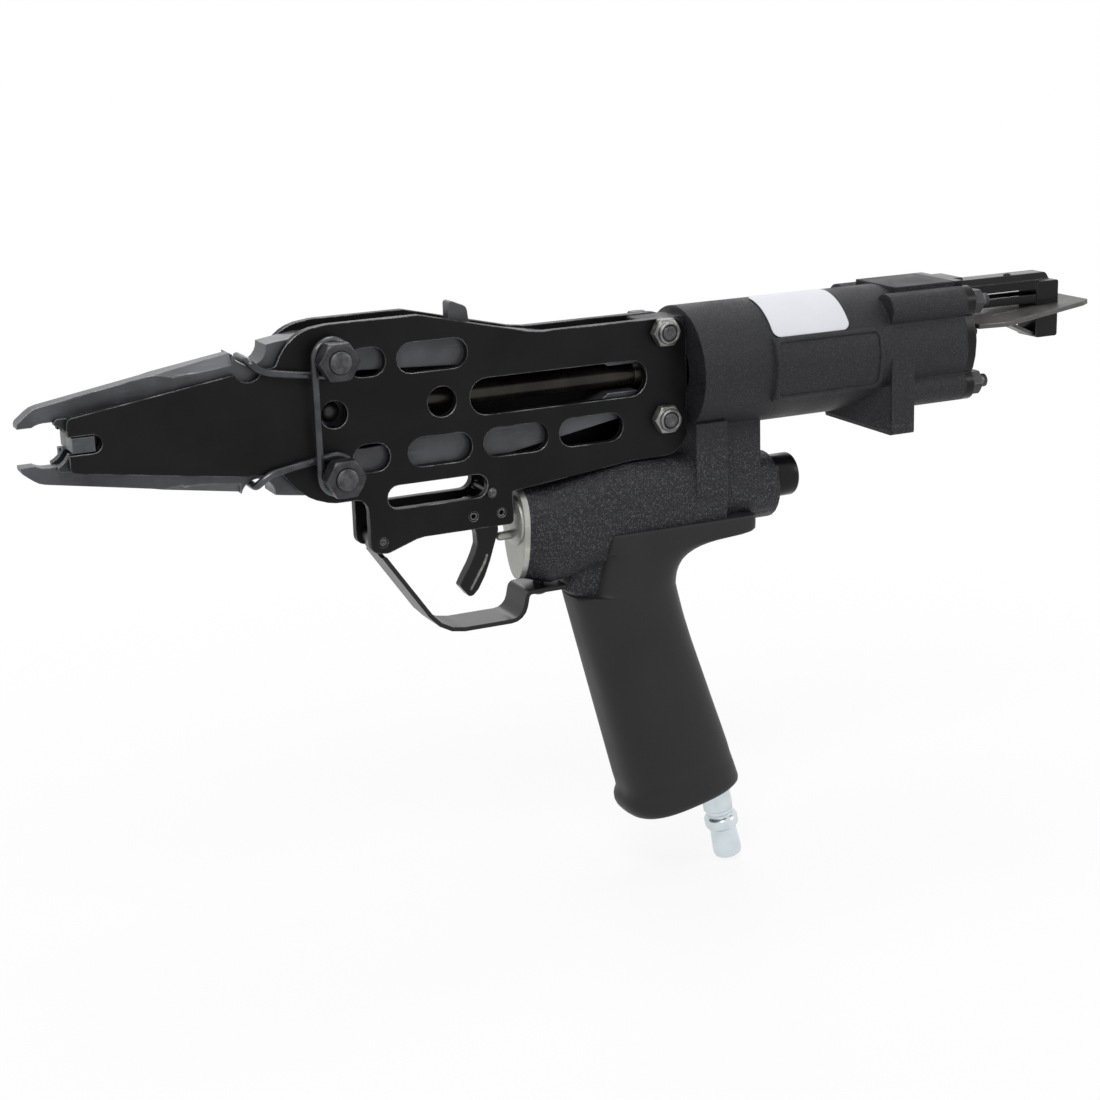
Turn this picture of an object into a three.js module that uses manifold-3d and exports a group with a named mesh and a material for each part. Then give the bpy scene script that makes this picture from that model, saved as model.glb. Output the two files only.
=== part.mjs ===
// A pneumatic hog ring tool: two jaws close a wire ring when a piston drives a cone
// between their tails. Millimetres, +Z up, +X to the rear, jaws towards -X.
// The origin is the middle of the end cap's rear face, on the piston's axis.

import * as THREE from 'three';
import { mergeVertices } from 'three/addons/utils/BufferGeometryUtils.js';
import { ConvexGeometry } from 'three/addons/geometries/ConvexGeometry.js';
import Module from 'manifold-3d';

const wasm = await Module();
wasm.setup();

// Clearances
const gap = 0.3; // between two pieces that touch
const overrun = 2; // how far a cut runs past what it cuts
const weld = 0.0001; // points closer than this are one
const sink = 1; // how far a solid reaches into the one it is joined to
const edge = 1; // small rounded corners and chamfers

// Counts that set how round things are
const roundSides = 24;
const boreSides = 32;
const smallSides = 12;
const sectionSides = 28;
const cornerStep = Math.PI / 8;
const cornerRoomShare = 0.49;

// The row of lengths along the tool, from the end cap forwards
const endCapFlange = 4;
const endDiscRise = 4.5; // the cap's middle stands this far behind its flange
const gasketThickness = 0.6;
const cylinderLength = 117.3;
const plateLength = 234.3;

// Cylinder, head and piston
const cylinderRadius = 24;
const cylinderBore = 19.5;
const cylinderWall = 10; // the wall between the bore and the front cavity
const cavityDepth = 22.4;
const cavityRadius = 11;
const headLength = 27;
const headTopHalfWidth = 14;
const headTopRise = 0.3; // the flat stands this far over the cylinder
const bossRadius = 6.5;
const bossY = 17;
const bossZ = 16.2;
const bossLead = 7; // the bosses start this far ahead of the head
const capScrewRadius = 2.5;
const capScrewLength = 28;
const capHeadAcrossFlats = 9;
const capHeadThickness = 5;
const capStubRadius = 2.6;
const capStubLength = 4.2;
const endDiscRadius = 18;
const endBlockHalfWidth = 8; // the cap's block that carries the rail
const endBlockBottomZ = 8;
const stroke = 24; // the piston stops on the stop sleeve
const pistonThickness = 20;
const pistonSetback = 5; // from the cylinder's rear end to the piston
const sealWidth = 4;
const sealDepth = 2.4;
const rodRadius = 4;
const spigotRadius = 2.7;
const pistonNutAcrossFlats = 9;
const pistonNutThickness = 4;
const bushRadius = 7;
const stopSleeveBore = 16;
const returnSpringRadius = 14;
const returnSpringWall = 2.2;

// Spreader: a bar with a cone behind it
const barLength = 87;
const coneLength = 24;
const coneRadius = 9.7;
const coneFrontStep = 0.3; // the cone starts this much over the bar
const coneBandLength = 12;
const spreaderSpigotLength = 24;

// Side plates
const plateThickness = 3;
const plateHalfGap = 6.25; // half the space between the plates
const plateHalfHeight = 32;
const pivotSetback = 92.5; // from the nose to the jaw pivots
const pivotZ = 20.6;
const rearBoltInset = 9.8;
const rearBoltZ = 16.5;
const wireNotchSetback = 63.5;
const wireNotchZ = 20;
const wireNotchLowerZ = -23.5;
const wireNotchRadius = 5.2;
const noseSlotHalfHeight = 3.2;
const noseSlotDepth = 11.4;

// Corners of the plate: share of its length from the nose, shares of its half height
// for the place and for the corner's radius
const plateOutlineShares = [
  [0, 0.29, 0.06], [0.248, 0.558, 0], [0.3129, 0.597, 0.05], [0.3231, 0.75, 0.3],
  [0.3393, 0.884, 0.3], [0.3628, 0.969, 0.3], [0.3948, 1, 0.3],
  [0.542, 1, 0.1], [0.734, 0.67, 0.8], [1, 0.67, 0.2], [1, -0.975, 0.31],
  [0.9, -0.975, 0.2], [0.687, -1.144, 0], [0.687, -1.525, 0.05], [0.529, -1.525, 0.3],
  [0.474, -1.66, 0.12], [0.447, -1.63, 0.1], [0.447, -1, 0.15],
  [0.3884, -0.994, 0.3], [0.3577, -0.916, 0.3], [0.3385, -0.8125, 0.3], [0.3231, -0.69, 0.3],
  [0.3129, -0.59, 0.05], [0.248, -0.558, 0], [0, -0.29, 0.06],
];
// Slots in the plate: ends as shares of its length, middle and height of its half height
const plateSlotShares = [
  [0.426, 0.486, 0.538, 0.325], [0.426, 0.486, -0.538, 0.325],
  [0.504, 0.62, 0.534, 0.344], [0.515, 0.622, -0.544, 0.338],
  [0.641, 0.752, -0.544, 0.338], [0.771, 0.884, -0.544, 0.338],
  [0.621, 0.928, 0, 0.425],
];
// The slot above the trigger, the only one that both plates have
const triggerSlotShares = [0.478, 0.645, -1.025, 0.275];
// Round holes in the plate: place as for the slots, then the radius's share
const plateHoleShares = [[0.4, 0, 0.156], [0.5745, 0, 0.175]];

// Jaws
const mouthRadius = 7.75;
const mouthLead = 6.3; // the mouth's centre is this far ahead of the plates
const jawTipLead = 15.2;
const jawTipThickness = 6;
const jawSideGap = 0.3;
const jawTipInnerZ = 6.6;
const jawTipOuterZ = 11.9;
const jawTipBluntZ = 8.4; // where the tip's end turns into its curved back
const jawTipCurve = 5.6; // how far behind the tip its back becomes straight
const jawTipRadius = 8;
const jawShoulderZ = 27.1;
const jawShoulderAhead = 18.5; // of the pivot
const jawBossRadius = 8;
const jawFlareAhead = 63.5; // where the jaw starts to widen, ahead of the pivot
const jawFlareLength = 10;
const jawNotchRadius = 6.2;
const jawNotchZ = 26.2;
const jawNotchLead = 1.7; // the jaw's notch is set back from the plate's by this
const armOuterZ = 22.7;
const armInnerZ = 14.2;
const tailClearance = 2; // from the jaws' tails to the casting's ears
const toeLength = 12;
const toeInnerZ = 5.2;
const toeOuterZ = 13.6;
const jawBevelLength = 45;
const jawBevelDepth = 4;
const lugHeight = 35.3;
const lugSetback = 48.7; // behind the pivot
const lugLength = 9;
const lugHalfWidth = 2.5;
const lugTopShare = 0.8; // of the lug's length
const jawArmShare = 0.57; // of the tail's length, to where the arm starts to drop
const jawWebShare = 1.5; // of the boss radius, to the ends of the eye's thick part

// Guide cheeks and ring pusher
const cheekHalfHeight = 9.2;
const cheekLead = 3.5;
const cheekLength = 30.5;
const pusherHalfHeight = 2.6;
const pusherHalfWidth = 2;
const pusherSetback = 1.4; // its end lies flush with the round of the mouth
const pusherWingLength = 9;
const rivetRadius = 2.2;
const rivetHeadRadius = 3.8;
const rivetHeadHeight = 2.4;
const domeShare = 0.7; // of a round head's radius, at its top edge
const rivetSetback = 94;
const pusherEyeHalfHeight = 5.5;
const pusherEyeLength = 16;

// Pivot bolts, nuts and rear bolts
const pivotBoltRadius = 4;
const pivotNutAcrossFlats = 13;
const pivotNutThickness = 6.5;
const pivotHeadThickness = 5.3;
const boltProud = 1;
const rearBoltRadius = 3;
const rearNutAcrossFlats = 10;
const rearNutHexThickness = 4;
const rearNutCollarRadius = 4.3;
const rearNutCollarThickness = 2;
const rearHeadThickness = 4;
const springBushRadius = 4.9;

// Jaw spring: one wire, a curl round each pivot bolt and an arm hooked over each jaw
const springWireRadius = 1.4;
const springCurlRadius = 6.7;
const springLayerPitch = 3.4;
const springSides = 5;
const springProbeStep = 1;
const springProbeSkip = 12; // neighbours on the wire that are not compared
const springCurlSteps = 8;
const springCurlTurns = 0.75;
const springHookSetback = 63.5;
const springHookZ = 22.2;
const springTail = 14;
const springHookShares = [1.6, 0.7]; // of two wire radii, below the hook at its last bends

// Casting: neck, ears, valve housing, handle and foot
const earLength = 17.6;
const earInnerZ = 11.3;
const earOuterZ = 21;
const neckFrontLength = 13.4;
const neckFrontHalfWidth = 16;
const neckRearSetback = 7; // the neck ends this far ahead of the housing's rear boss
const neckRearHalfWidth = 10;
const housingLength = 80.7;
const housingFrontX = -193.7;
const housingHalfWidth = 15.5;
const housingFrontTop = -37.2;
const housingFrontBottom = -75.5;
const housingRearTop = -31.8;
const housingRearBottom = -63.5;
const housingSquareness = 4;
const housingFrontHalfWidth = 10;
const housingFrontSquareness = 2.3;
const housingFrontTaper = 0.22; // the front's bottom is narrower, its top wider, by this share
const housingFrontRise = 2.5; // the front's bottom lies this much higher
const housingNoseLength = 9; // from the front to the full width
const rearBossRadius = 13.2;
const rearBossLength = 25;
const rearBossZ = -50;
const valveZ = -55.5;
const valveBore = 6.4;
const valveBoreDepth = 60;
const valveInnerBore = 4;
const footHeight = 32;
const footLength = 10.5;
const footHalfWidth = 24;
const footSetback = 24.4; // from the cylinder's rear end
const gussetLength = 18;
const gussetTipHalfWidth = 4;
const padStart = 48;
const padLength = 48.5;
const padRise = 1;
const padTopAngle = 62.5;
const padBottomAngle = 121;

// Handle, as heights and places of its sections
const handleTopZ = -62;
const handleRootZ = -80;
const handleNeckZ = -87;
const handleWaistZ = -108;
const handleBottomZ = -167.3;
const handleTopX = -158;
const handleRootX = -157.5;
const handleNeckX = -151.5;
const handleWaistX = -145.5;
const handleBottomX = -124.3;
const handleRootHalfLength = 19.5;
const handleNeckHalfLength = 17;
const handleWaistHalfLength = 18.2;
const handleBottomHalfLength = 18.8;
const handleHalfWidth = 11.5;
const handleSquareness = 2.6;
const handleBore = 4.5;

// Rubber grip
const gripTopZ = -57.5;
const gripShoulderZ = -82;
const gripWaistZ = -105;
const gripShoulderX = -152.4;
const gripWaistX = -146.5;
const gripToeX = -129.3;
const gripRimX = -128.8;
const gripBottomX = -128.3;
const gripTopHalfLength = 22.5;
const gripWaistHalfLength = 21.5;
const gripToeHalfLength = 24;
const gripRimHalfLength = 25.7;
const gripBottomHalfLength = 24.6;
const gripToeRise = 9.5; // from the grip's bottom to where its toe starts to swell
const gripRimRise = 5; // from the grip's bottom to its widest part
const gripHalfWidth = 17;
const gripFloor = 3.9;
const gripTangX = -99.3;
const gripTangThickness = 7;
const gripNotchX = -162.9; // the top of the notch in the grip's front
const gripNotchLean = 5.9; // the notch's foot is this far ahead of its top
const gripNeckSquareness = 3.2;
// The grip's neck below the tang: down from the tang as a share of the room there, rear place
const gripNeckLine = [
  [0, -106], [0.08, -116], [0.25, -123.5], [0.45, -129], [0.7, -131], [1, -131.3],
];

// Air plug
const plugLean = 0.202; // rearward lean of its nose from the vertical, radians
const plugX = -113.3; // where its axis meets the handle's bottom
const plugBodyRadius = 6.3;
const plugThreadRadius = 4.8;
const plugFlats = 11;
const plugBodyLength = 19.8;
const plugCollarRadius = 6.8;
const plugNeckRadius = 5.9;
const plugTipRadius = 5.2;
const plugTipLength = 15.5;
const plugBore = 3;
const plugThread = 7;
const plugTipShares = [0.45, 0.85]; // of the nose: to its neck and to its collar

// Valve cap, stem, spring and exhaust
const capPlateThickness = 2.4;
const capBushRadius = 5.5;
const capBushLength = 3.4;
const stemRadius = 2.2;
const stemFrontX = -203.6;
const stemLength = 24;
const stemCollarRadius = 5.6;
const valveSpringRadius = 5.4;
const valveSpringWall = 1.2;
const valveSpringLength = 22;
const exhaustRadius = 8.5;
const exhaustLength = 12;
const exhaustNeckRadius = 6;
const exhaustNeckLength = 8;
const exhaustZ = -47.5;

// Trigger, its pins and the guard
const triggerPinX = -216;
const triggerPinZ = -44;
const pinRadius = 1.5;
const triggerHalfWidth = 2.2;
const triggerHubHalfWidth = 5.5;
const triggerHubRadius = 3.6;
const triggerReach = 32.1;
// Corners of the trigger from its pin: back, up and radius, all as shares of its reach
const triggerOutlineShares = [
  [-0.125, 0.156, 0.09], [0.25, 0.156, 0.09], [0.25, -0.14, 0.03], [0.39, -0.2, 0.03],
  [0.392, -0.265, 0.05], [0.333, -0.436, 0.1], [0.277, -0.607, 0.1], [0.206, -0.779, 0.1],
  [0.115, -0.935, 0.08], [0.04, -1.005, 0.05], [-0.01, -1, 0.03], [-0.115, -0.865, 0.03],
  [-0.056, -0.757, 0.1], [0.025, -0.626, 0.2], [0.081, -0.514, 0.1], [0.125, -0.399, 0.1],
  [0.121, -0.28, 0.1], [0.09, -0.176, 0.05],
];
const platePinX = -204.8;
const plateScrewX = -208.4;
const plateScrewZ = -36;
const plateScrewRadius = 1.3;
const plateScrewHeadRadius = 2.1;
const guardScrewX = -251.6;
const guardScrewZ = -48.8;
const guardThickness = 1.6;
const guardHalfWidth = 8.5;
const guardTabHalfWidth = 5.9;
const guardEyeRadius = 3;
const guardBottomZ = -86.6;
const guardFrontX = -253.5;
const guardFootLength = 16;
const guardBendRadius = 2;
const guardRearX = -194.8;
// The strap's bends: back as a share of its length, down and radius as shares of its drop
const guardLineShares = [
  [0, 0, 0], [0.022, 0.116, 0.15], [0.412, 1, 0.42], [0.9625, 1, 0.22],
];
const guardScrewShank = 2;
const guardScrewHead = 4;
const guardScrewHeadHeight = 2.6;
const guardScrewDepth = 9;

// Magazine rail, follower and loading gate, behind the end cap
const railLength = 44;
const railHalfWidth = 6;
const railWall = 1.5;
const railRidge = 2.5;
const railBottomZ = 10.5;
const railTopZ = 22.3;
const railStepZ = 19.4;
const railSlotHalfHeight = 1.2;
const followerLength = 8;
const followerTravel = 28; // as long as the rail's lower walls
const gatePinX = 3.1;
const gatePinZ = 2.5;
const gatePinRadius = 1.2;
const gateKnuckleRadius = 2.4;
const gateKnuckleHalfLength = 7.5;
const gateLugThickness = 3;
const gateThickness = 1.8;
const gateTilt = 0.06; // the plate rises rearwards by this, radians
const gateLength = 60.6;
const gateFrontHalfWidth = 24;
const gateFrontShare = 0.18; // of the length, to the plate's widest place
const gateCornerHalfWidth = 19;
const gateTipHalfWidth = 11;
const gateShoulderHalfWidth = 13.4;
const gateShoulderShare = 0.93;
const gateWindowShares = [0.25, 0.64, 0.42]; // start, end, and width of the front half width
const gateWindowMargin = 1;
const gateBlockStart = 38.2;
const gateBlockLength = 10.7;
const gateBlockTopZ = 19;
const gateBlockBottomZ = -4.1;
const gateBraceStart = 20;
const gateBraceThickness = 1.4;
const gateBraceFoot = 3;
const gateBraceBend = 2;

// Label on the cylinder
const labelRise = 0.5;
const labelStart = 61.5;
const labelLength = 34;
const labelAngle = 62;

// Places that follow from the sizes above
const flangeRearX = -endDiscRise;
const flangeFrontX = flangeRearX - endCapFlange;
const cylinderRearX = flangeFrontX - gasketThickness;
const cylinderFrontX = cylinderRearX - cylinderLength;
const plateRearX = cylinderFrontX - gap;
const noseX = plateRearX - plateLength;
const plateOuterY = plateHalfGap + plateThickness;
const pivotX = noseX + pivotSetback;
const tailLength = cylinderFrontX - earLength - tailClearance - pivotX;
const rearBoltX = plateRearX - rearBoltInset;
const mouthX = noseX - mouthLead;
const boreFrontX = cylinderFrontX + cavityDepth + cylinderWall;
const coneRearX = boreFrontX - cylinderWall - gap - (cavityDepth - coneBandLength) / 2;
const coneFrontX = coneRearX - coneBandLength - coneLength;
const jawHalfThickness = plateHalfGap - jawSideGap;
const valveSpringStartX = housingFrontX + gap + stemRadius + gap;
const plugZ = handleBottomZ + Math.tan(plugLean) * (plugX - handleBottomX);
const railLowerLength = railWall + gap + followerLength + followerTravel;
const toX = (share) => noseX + share * plateLength;
const toZ = (share) => share * plateHalfHeight;

// Outlines

// Rounds the corners of a closed outline. Each corner is [u, v, radius].
function rounded(corners) {
  const points = [];
  corners.forEach(([u, v, radius = 0], i) => {
    const here = new THREE.Vector2(u, v);
    if (radius === 0) {
      points.push(here);
      return;
    }
    const [beforeU, beforeV] = corners.at(i - 1);
    const [afterU, afterV] = corners[(i + 1) % corners.length];
    const back = new THREE.Vector2(beforeU, beforeV).sub(here);
    const on = new THREE.Vector2(afterU, afterV).sub(here);
    const room = Math.min(back.length(), on.length()) * cornerRoomShare;
    back.normalize();
    on.normalize();
    const half = Math.acos(back.dot(on)) / 2;
    const setback = Math.min(radius / Math.tan(half), room);
    const middle = back.clone().add(on).normalize();
    const centre = here.clone().addScaledVector(middle, setback / Math.cos(half));
    const start = here.clone().addScaledVector(back, setback).sub(centre);
    const end = here.clone().addScaledVector(on, setback).sub(centre);
    const turn = start.cross(end) < 0 ? -start.angleTo(end) : start.angleTo(end);
    const steps = Math.max(1, Math.ceil(Math.abs(turn) / cornerStep));
    for (let k = 0; k <= steps; k += 1) {
      const angle = start.angle() + (turn * k) / steps;
      const arm = new THREE.Vector2(Math.cos(angle), Math.sin(angle));
      points.push(centre.clone().addScaledVector(arm, start.length()));
    }
  });
  return points;
}

function circle(u, v, radius, sides = roundSides) {
  return Array.from({ length: sides }, (_, k) => {
    const angle = (2 * Math.PI * (k + 0.5)) / sides;
    return new THREE.Vector2(u + radius * Math.cos(angle), v + radius * Math.sin(angle));
  });
}

// A slot with round ends, from uLow to uHigh.
function slot(uLow, uHigh, v, height) {
  const r = height / 2;
  return rounded([[uLow, v - r, r], [uHigh, v - r, r], [uHigh, v + r, r], [uLow, v + r, r]]);
}

function rectangle(uLow, uHigh, vLow, vHigh, radius = 0) {
  return rounded([[uLow, vLow, radius], [uHigh, vLow, radius],
    [uHigh, vHigh, radius], [uLow, vHigh, radius]]);
}

function hexagon(u, v, acrossFlats) {
  const reach = acrossFlats / Math.sqrt(3);
  return Array.from({ length: 6 }, (_, k) => {
    const angle = (Math.PI * k) / 3;
    return new THREE.Vector2(u + reach * Math.cos(angle), v + reach * Math.sin(angle));
  });
}

// A strip of even thickness along a bent line of [u, v, radius] corners.
function strip(corners, thickness) {
  const open = rounded([...corners, ...corners.slice(1, -1).reverse()]);
  const middle = open.slice(0, Math.ceil((open.length + 2) / 2));
  const normals = middle.map((point, k) => {
    const before = middle[Math.max(0, k - 1)];
    const after = middle[Math.min(middle.length - 1, k + 1)];
    const along = after.clone().sub(before).normalize();
    return new THREE.Vector2(-along.y, along.x);
  });
  const left = middle.map((p, k) => p.clone().addScaledVector(normals[k], thickness / 2));
  const right = middle.map((p, k) => p.clone().addScaledVector(normals[k], -thickness / 2));
  return [...left, ...right.reverse()];
}

// Solids

function signedVolume(positions, index) {
  const a = new THREE.Vector3();
  const b = new THREE.Vector3();
  const c = new THREE.Vector3();
  let volume = 0;
  for (let i = 0; i < index.length; i += 3) {
    a.fromArray(positions, index[i] * 3);
    b.fromArray(positions, index[i + 1] * 3);
    c.fromArray(positions, index[i + 2] * 3);
    volume += a.dot(b.cross(c)) / 6;
  }
  return volume;
}

// Makes a closed geometry into a solid that can be joined and cut.
function solidOf(geometry) {
  const bare = geometry.clone();
  Object.keys(bare.attributes).filter((name) => name !== 'position')
    .forEach((name) => bare.deleteAttribute(name));
  const merged = mergeVertices(bare, weld);
  const positions = merged.attributes.position.array;
  const all = merged.index.array;
  const kept = [];
  for (let i = 0; i < all.length; i += 3) {
    const [a, b, c] = all.subarray(i, i + 3);
    if (a !== b && b !== c && c !== a) kept.push(a, b, c);
  }
  if (signedVolume(positions, kept) < 0) kept.reverse();
  return new wasm.Manifold(new wasm.Mesh({
    numProp: 3,
    vertProperties: new Float32Array(positions),
    triVerts: new Uint32Array(kept),
  }));
}

function geometryOf(solid) {
  const { vertProperties, triVerts } = solid.getMesh();
  const geometry = new THREE.BufferGeometry();
  geometry.setAttribute('position', new THREE.BufferAttribute(Float32Array.from(vertProperties), 3));
  geometry.setIndex(new THREE.BufferAttribute(Uint32Array.from(triVerts), 1));
  geometry.computeVertexNormals();
  return geometry;
}

const join = (first, ...rest) => rest.reduce((sum, next) => sum.add(next), first);
const cut = (first, ...rest) => rest.reduce((left, next) => left.subtract(next), first);

function extruded(points, depth, holes) {
  const shape = new THREE.Shape(points);
  shape.holes = holes.map((hole) => new THREE.Path(hole));
  return new THREE.ExtrudeGeometry(shape, { depth, bevelEnabled: false });
}

// An outline in X and Z, thick along Y
function slabY(points, yLow, yHigh, holes = []) {
  const geometry = extruded(points, yHigh - yLow, holes);
  geometry.rotateX(Math.PI / 2);
  return solidOf(geometry.translate(0, yHigh, 0));
}

// An outline in Y and Z, thick along X
function slabX(points, xLow, xHigh, holes = []) {
  const geometry = extruded(points, xHigh - xLow, holes);
  const turn = new THREE.Matrix4().makeBasis(
    new THREE.Vector3(0, 1, 0), new THREE.Vector3(0, 0, 1), new THREE.Vector3(1, 0, 0));
  return solidOf(geometry.applyMatrix4(turn).translate(xLow, 0, 0));
}

// An outline in X and Y, thick along Z
function slabZ(points, zLow, zHigh, holes = []) {
  return solidOf(extruded(points, zHigh - zLow, holes).translate(0, 0, zLow));
}

// A profile of [place along the axis, radius], turned about an axis
function turned(profile, sides) {
  return new THREE.LatheGeometry(profile.map(([along, r]) => new THREE.Vector2(r, along)), sides);
}

function turnedX(profile, y = 0, z = 0, sides = roundSides) {
  return solidOf(turned(profile, sides).rotateZ(-Math.PI / 2).translate(0, y, z));
}

function turnedY(profile, x = 0, z = 0, sides = roundSides) {
  return solidOf(turned(profile, sides).translate(x, 0, z));
}

function turnedZ(profile, x = 0, y = 0, sides = roundSides) {
  return solidOf(turned(profile, sides).rotateX(Math.PI / 2).translate(x, y, 0));
}

const rodX = (xLow, xHigh, r, y, z, sides) =>
  turnedX([[xLow, 0], [xLow, r], [xHigh, r], [xHigh, 0]], y, z, sides);
const rodY = (yLow, yHigh, r, x, z, sides) =>
  turnedY([[yLow, 0], [yLow, r], [yHigh, r], [yHigh, 0]], x, z, sides);
const rodZ = (zLow, zHigh, r, x, y, sides) =>
  turnedZ([[zLow, 0], [zLow, r], [zHigh, r], [zHigh, 0]], x, y, sides);

const ringX = (xLow, xHigh, inner, outer, y, z, sides) => turnedX(
  [[xLow, inner], [xLow, outer], [xHigh, outer], [xHigh, inner], [xLow, inner]], y, z, sides);
const ringY = (yLow, yHigh, inner, outer, x, z, sides) => turnedY(
  [[yLow, inner], [yLow, outer], [yHigh, outer], [yHigh, inner], [yLow, inner]], x, z, sides);

// A closed skin through rings that all have as many points, with flat ends
function loft(rings) {
  const count = rings[0].length;
  const positions = rings.flat().flatMap((p) => [p.x, p.y, p.z]);
  const index = [];
  for (let k = 0; k + 1 < rings.length; k += 1) {
    for (let i = 0; i < count; i += 1) {
      const a = k * count + i;
      const b = k * count + ((i + 1) % count);
      index.push(a, b, b + count, a, b + count, a + count);
    }
  }
  [0, rings.length - 1].forEach((k) => {
    const hub = positions.length / 3;
    const middle = rings[k].reduce((sum, p) => sum.add(p), new THREE.Vector3());
    middle.divideScalar(count);
    positions.push(middle.x, middle.y, middle.z);
    for (let i = 0; i < count; i += 1) {
      const a = k * count + i;
      const b = k * count + ((i + 1) % count);
      if (k === 0) index.push(hub, b, a);
      else index.push(hub, a, b);
    }
  });
  const geometry = new THREE.BufferGeometry();
  geometry.setAttribute('position', new THREE.Float32BufferAttribute(positions, 3));
  geometry.setIndex(index);
  return solidOf(geometry);
}

// A rounded section: power 2 is an ellipse, a higher power is squarer.
function superellipse(halfU, halfV, power, place) {
  return Array.from({ length: sectionSides }, (_, k) => {
    const angle = (2 * Math.PI * (k + 0.5)) / sectionSides;
    const u = Math.sign(Math.cos(angle)) * Math.abs(Math.cos(angle)) ** (2 / power);
    const v = Math.sign(Math.sin(angle)) * Math.abs(Math.sin(angle)) ** (2 / power);
    return place(halfU * u, halfV * v);
  });
}

// A section across X; with a taper it is wider above its middle and narrower below.
const sectionAtX = (x, z, halfY, halfZ, power, taper = 0) =>
  superellipse(halfY, halfZ, power, (y, up) =>
    new THREE.Vector3(x, y * (1 + (taper * up) / halfZ), z + up));
// A level section, or one that rises rearwards by a slope
const sectionAtZ = (z, x, halfX, halfY, power, slope = 0) =>
  superellipse(halfX, halfY, power, (along, y) => new THREE.Vector3(x + along, y, z + slope * along));

// A round wire through points, its section carried along without twisting
function wire(points, radius, sides) {
  const along = points.map((point, k) => {
    const before = points[Math.max(0, k - 1)];
    const after = points[Math.min(points.length - 1, k + 1)];
    return after.clone().sub(before).normalize();
  });
  let across = new THREE.Vector3(0, 1, 0);
  const rings = points.map((point, k) => {
    across = across.clone().addScaledVector(along[k], -across.dot(along[k])).normalize();
    const other = new THREE.Vector3().crossVectors(along[k], across);
    return Array.from({ length: sides }, (_, i) => {
      const angle = (2 * Math.PI * i) / sides;
      return point.clone()
        .addScaledVector(across, radius * Math.cos(angle))
        .addScaledVector(other, radius * Math.sin(angle));
    });
  });
  return loft(rings);
}

const convex = (points) => solidOf(new ConvexGeometry(points.map((p) => new THREE.Vector3(...p))));

// Finishes
const finishes = {
  plateSteel: { color: 0x141517, roughness: 0.42, metalness: 0.6 },
  jawSteel: { color: 0x3b4046, roughness: 0.4, metalness: 0.8 },
  cheekSteel: { color: 0x2b3236, roughness: 0.45, metalness: 0.7 },
  casting: { color: 0x1b1d21, roughness: 0.75, metalness: 0.2 },
  rubber: { color: 0x232427, roughness: 0.7, metalness: 0 },
  glossBlack: { color: 0x0c0c0e, roughness: 0.25, metalness: 0.2 },
  nutSteel: { color: 0x33363a, roughness: 0.4, metalness: 0.8 },
  boltSteel: { color: 0x6c7074, roughness: 0.4, metalness: 0.9 },
  lockNutZinc: { color: 0x8d8f8c, roughness: 0.35, metalness: 0.9 },
  springSteel: { color: 0x2a2c2f, roughness: 0.3, metalness: 0.9 },
  brightSteel: { color: 0xb9bcbe, roughness: 0.3, metalness: 1 },
  barSteel: { color: 0x2b2723, roughness: 0.3, metalness: 0.8 },
  capSilver: { color: 0xc4c5c2, roughness: 0.35, metalness: 0.9 },
  plugNickel: { color: 0xb4b3ad, roughness: 0.3, metalness: 1 },
  gateSteel: { color: 0x6b6762, roughness: 0.45, metalness: 0.8 },
  aluminium: { color: 0xa9abad, roughness: 0.4, metalness: 0.9 },
  sealBlack: { color: 0x101010, roughness: 0.8, metalness: 0 },
  labelWhite: { color: 0xe9eaec, roughness: 0.4, metalness: 0 },
};

const tool = new THREE.Group();

function add(name, finish, solid, position = [0, 0, 0]) {
  const geometry = solid instanceof THREE.BufferGeometry ? solid : geometryOf(solid);
  const mesh = new THREE.Mesh(geometry, new THREE.MeshStandardMaterial(finishes[finish]));
  mesh.name = name;
  mesh.position.set(...position);
  tool.add(mesh);
}

// Side plates
function sidePlate(yLow, yHigh, slotShares) {
  const outline = rounded(plateOutlineShares.map(([along, up, r]) => [toX(along), toZ(up), toZ(r)]));
  const slots = slotShares.map(([from, to, up, height]) =>
    slot(toX(from), toX(to), toZ(up), toZ(height)));
  const holes = plateHoleShares.map(([along, up, r]) => circle(toX(along), toZ(up), toZ(r)));
  const screwHoles = [
    [pivotX, pivotZ, pivotBoltRadius], [pivotX, -pivotZ, pivotBoltRadius],
    [rearBoltX, rearBoltZ, rearBoltRadius], [rearBoltX, -rearBoltZ, rearBoltRadius],
    [triggerPinX, triggerPinZ, pinRadius], [platePinX, triggerPinZ, pinRadius],
    [plateScrewX, plateScrewZ, plateScrewRadius], [guardScrewX, guardScrewZ, pinRadius],
  ].map(([x, z, r]) => circle(x, z, r + gap, smallSides));
  const nose = rounded([
    [noseX - overrun, noseSlotHalfHeight, 0], [noseX - overrun, -noseSlotHalfHeight, 0],
    [noseX + noseSlotDepth, -noseSlotHalfHeight, noseSlotHalfHeight],
    [noseX + noseSlotDepth, noseSlotHalfHeight, noseSlotHalfHeight],
  ]);
  const low = yLow - overrun;
  const high = yHigh + overrun;
  const openings = [...slots, ...holes, ...screwHoles, nose].map((line) => slabY(line, low, high));
  const notches = [wireNotchZ, wireNotchLowerZ].map((z) =>
    rodY(low, high, wireNotchRadius, noseX + wireNotchSetback, z));
  return cut(slabY(outline, yLow, yHigh), ...openings, ...notches);
}

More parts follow.
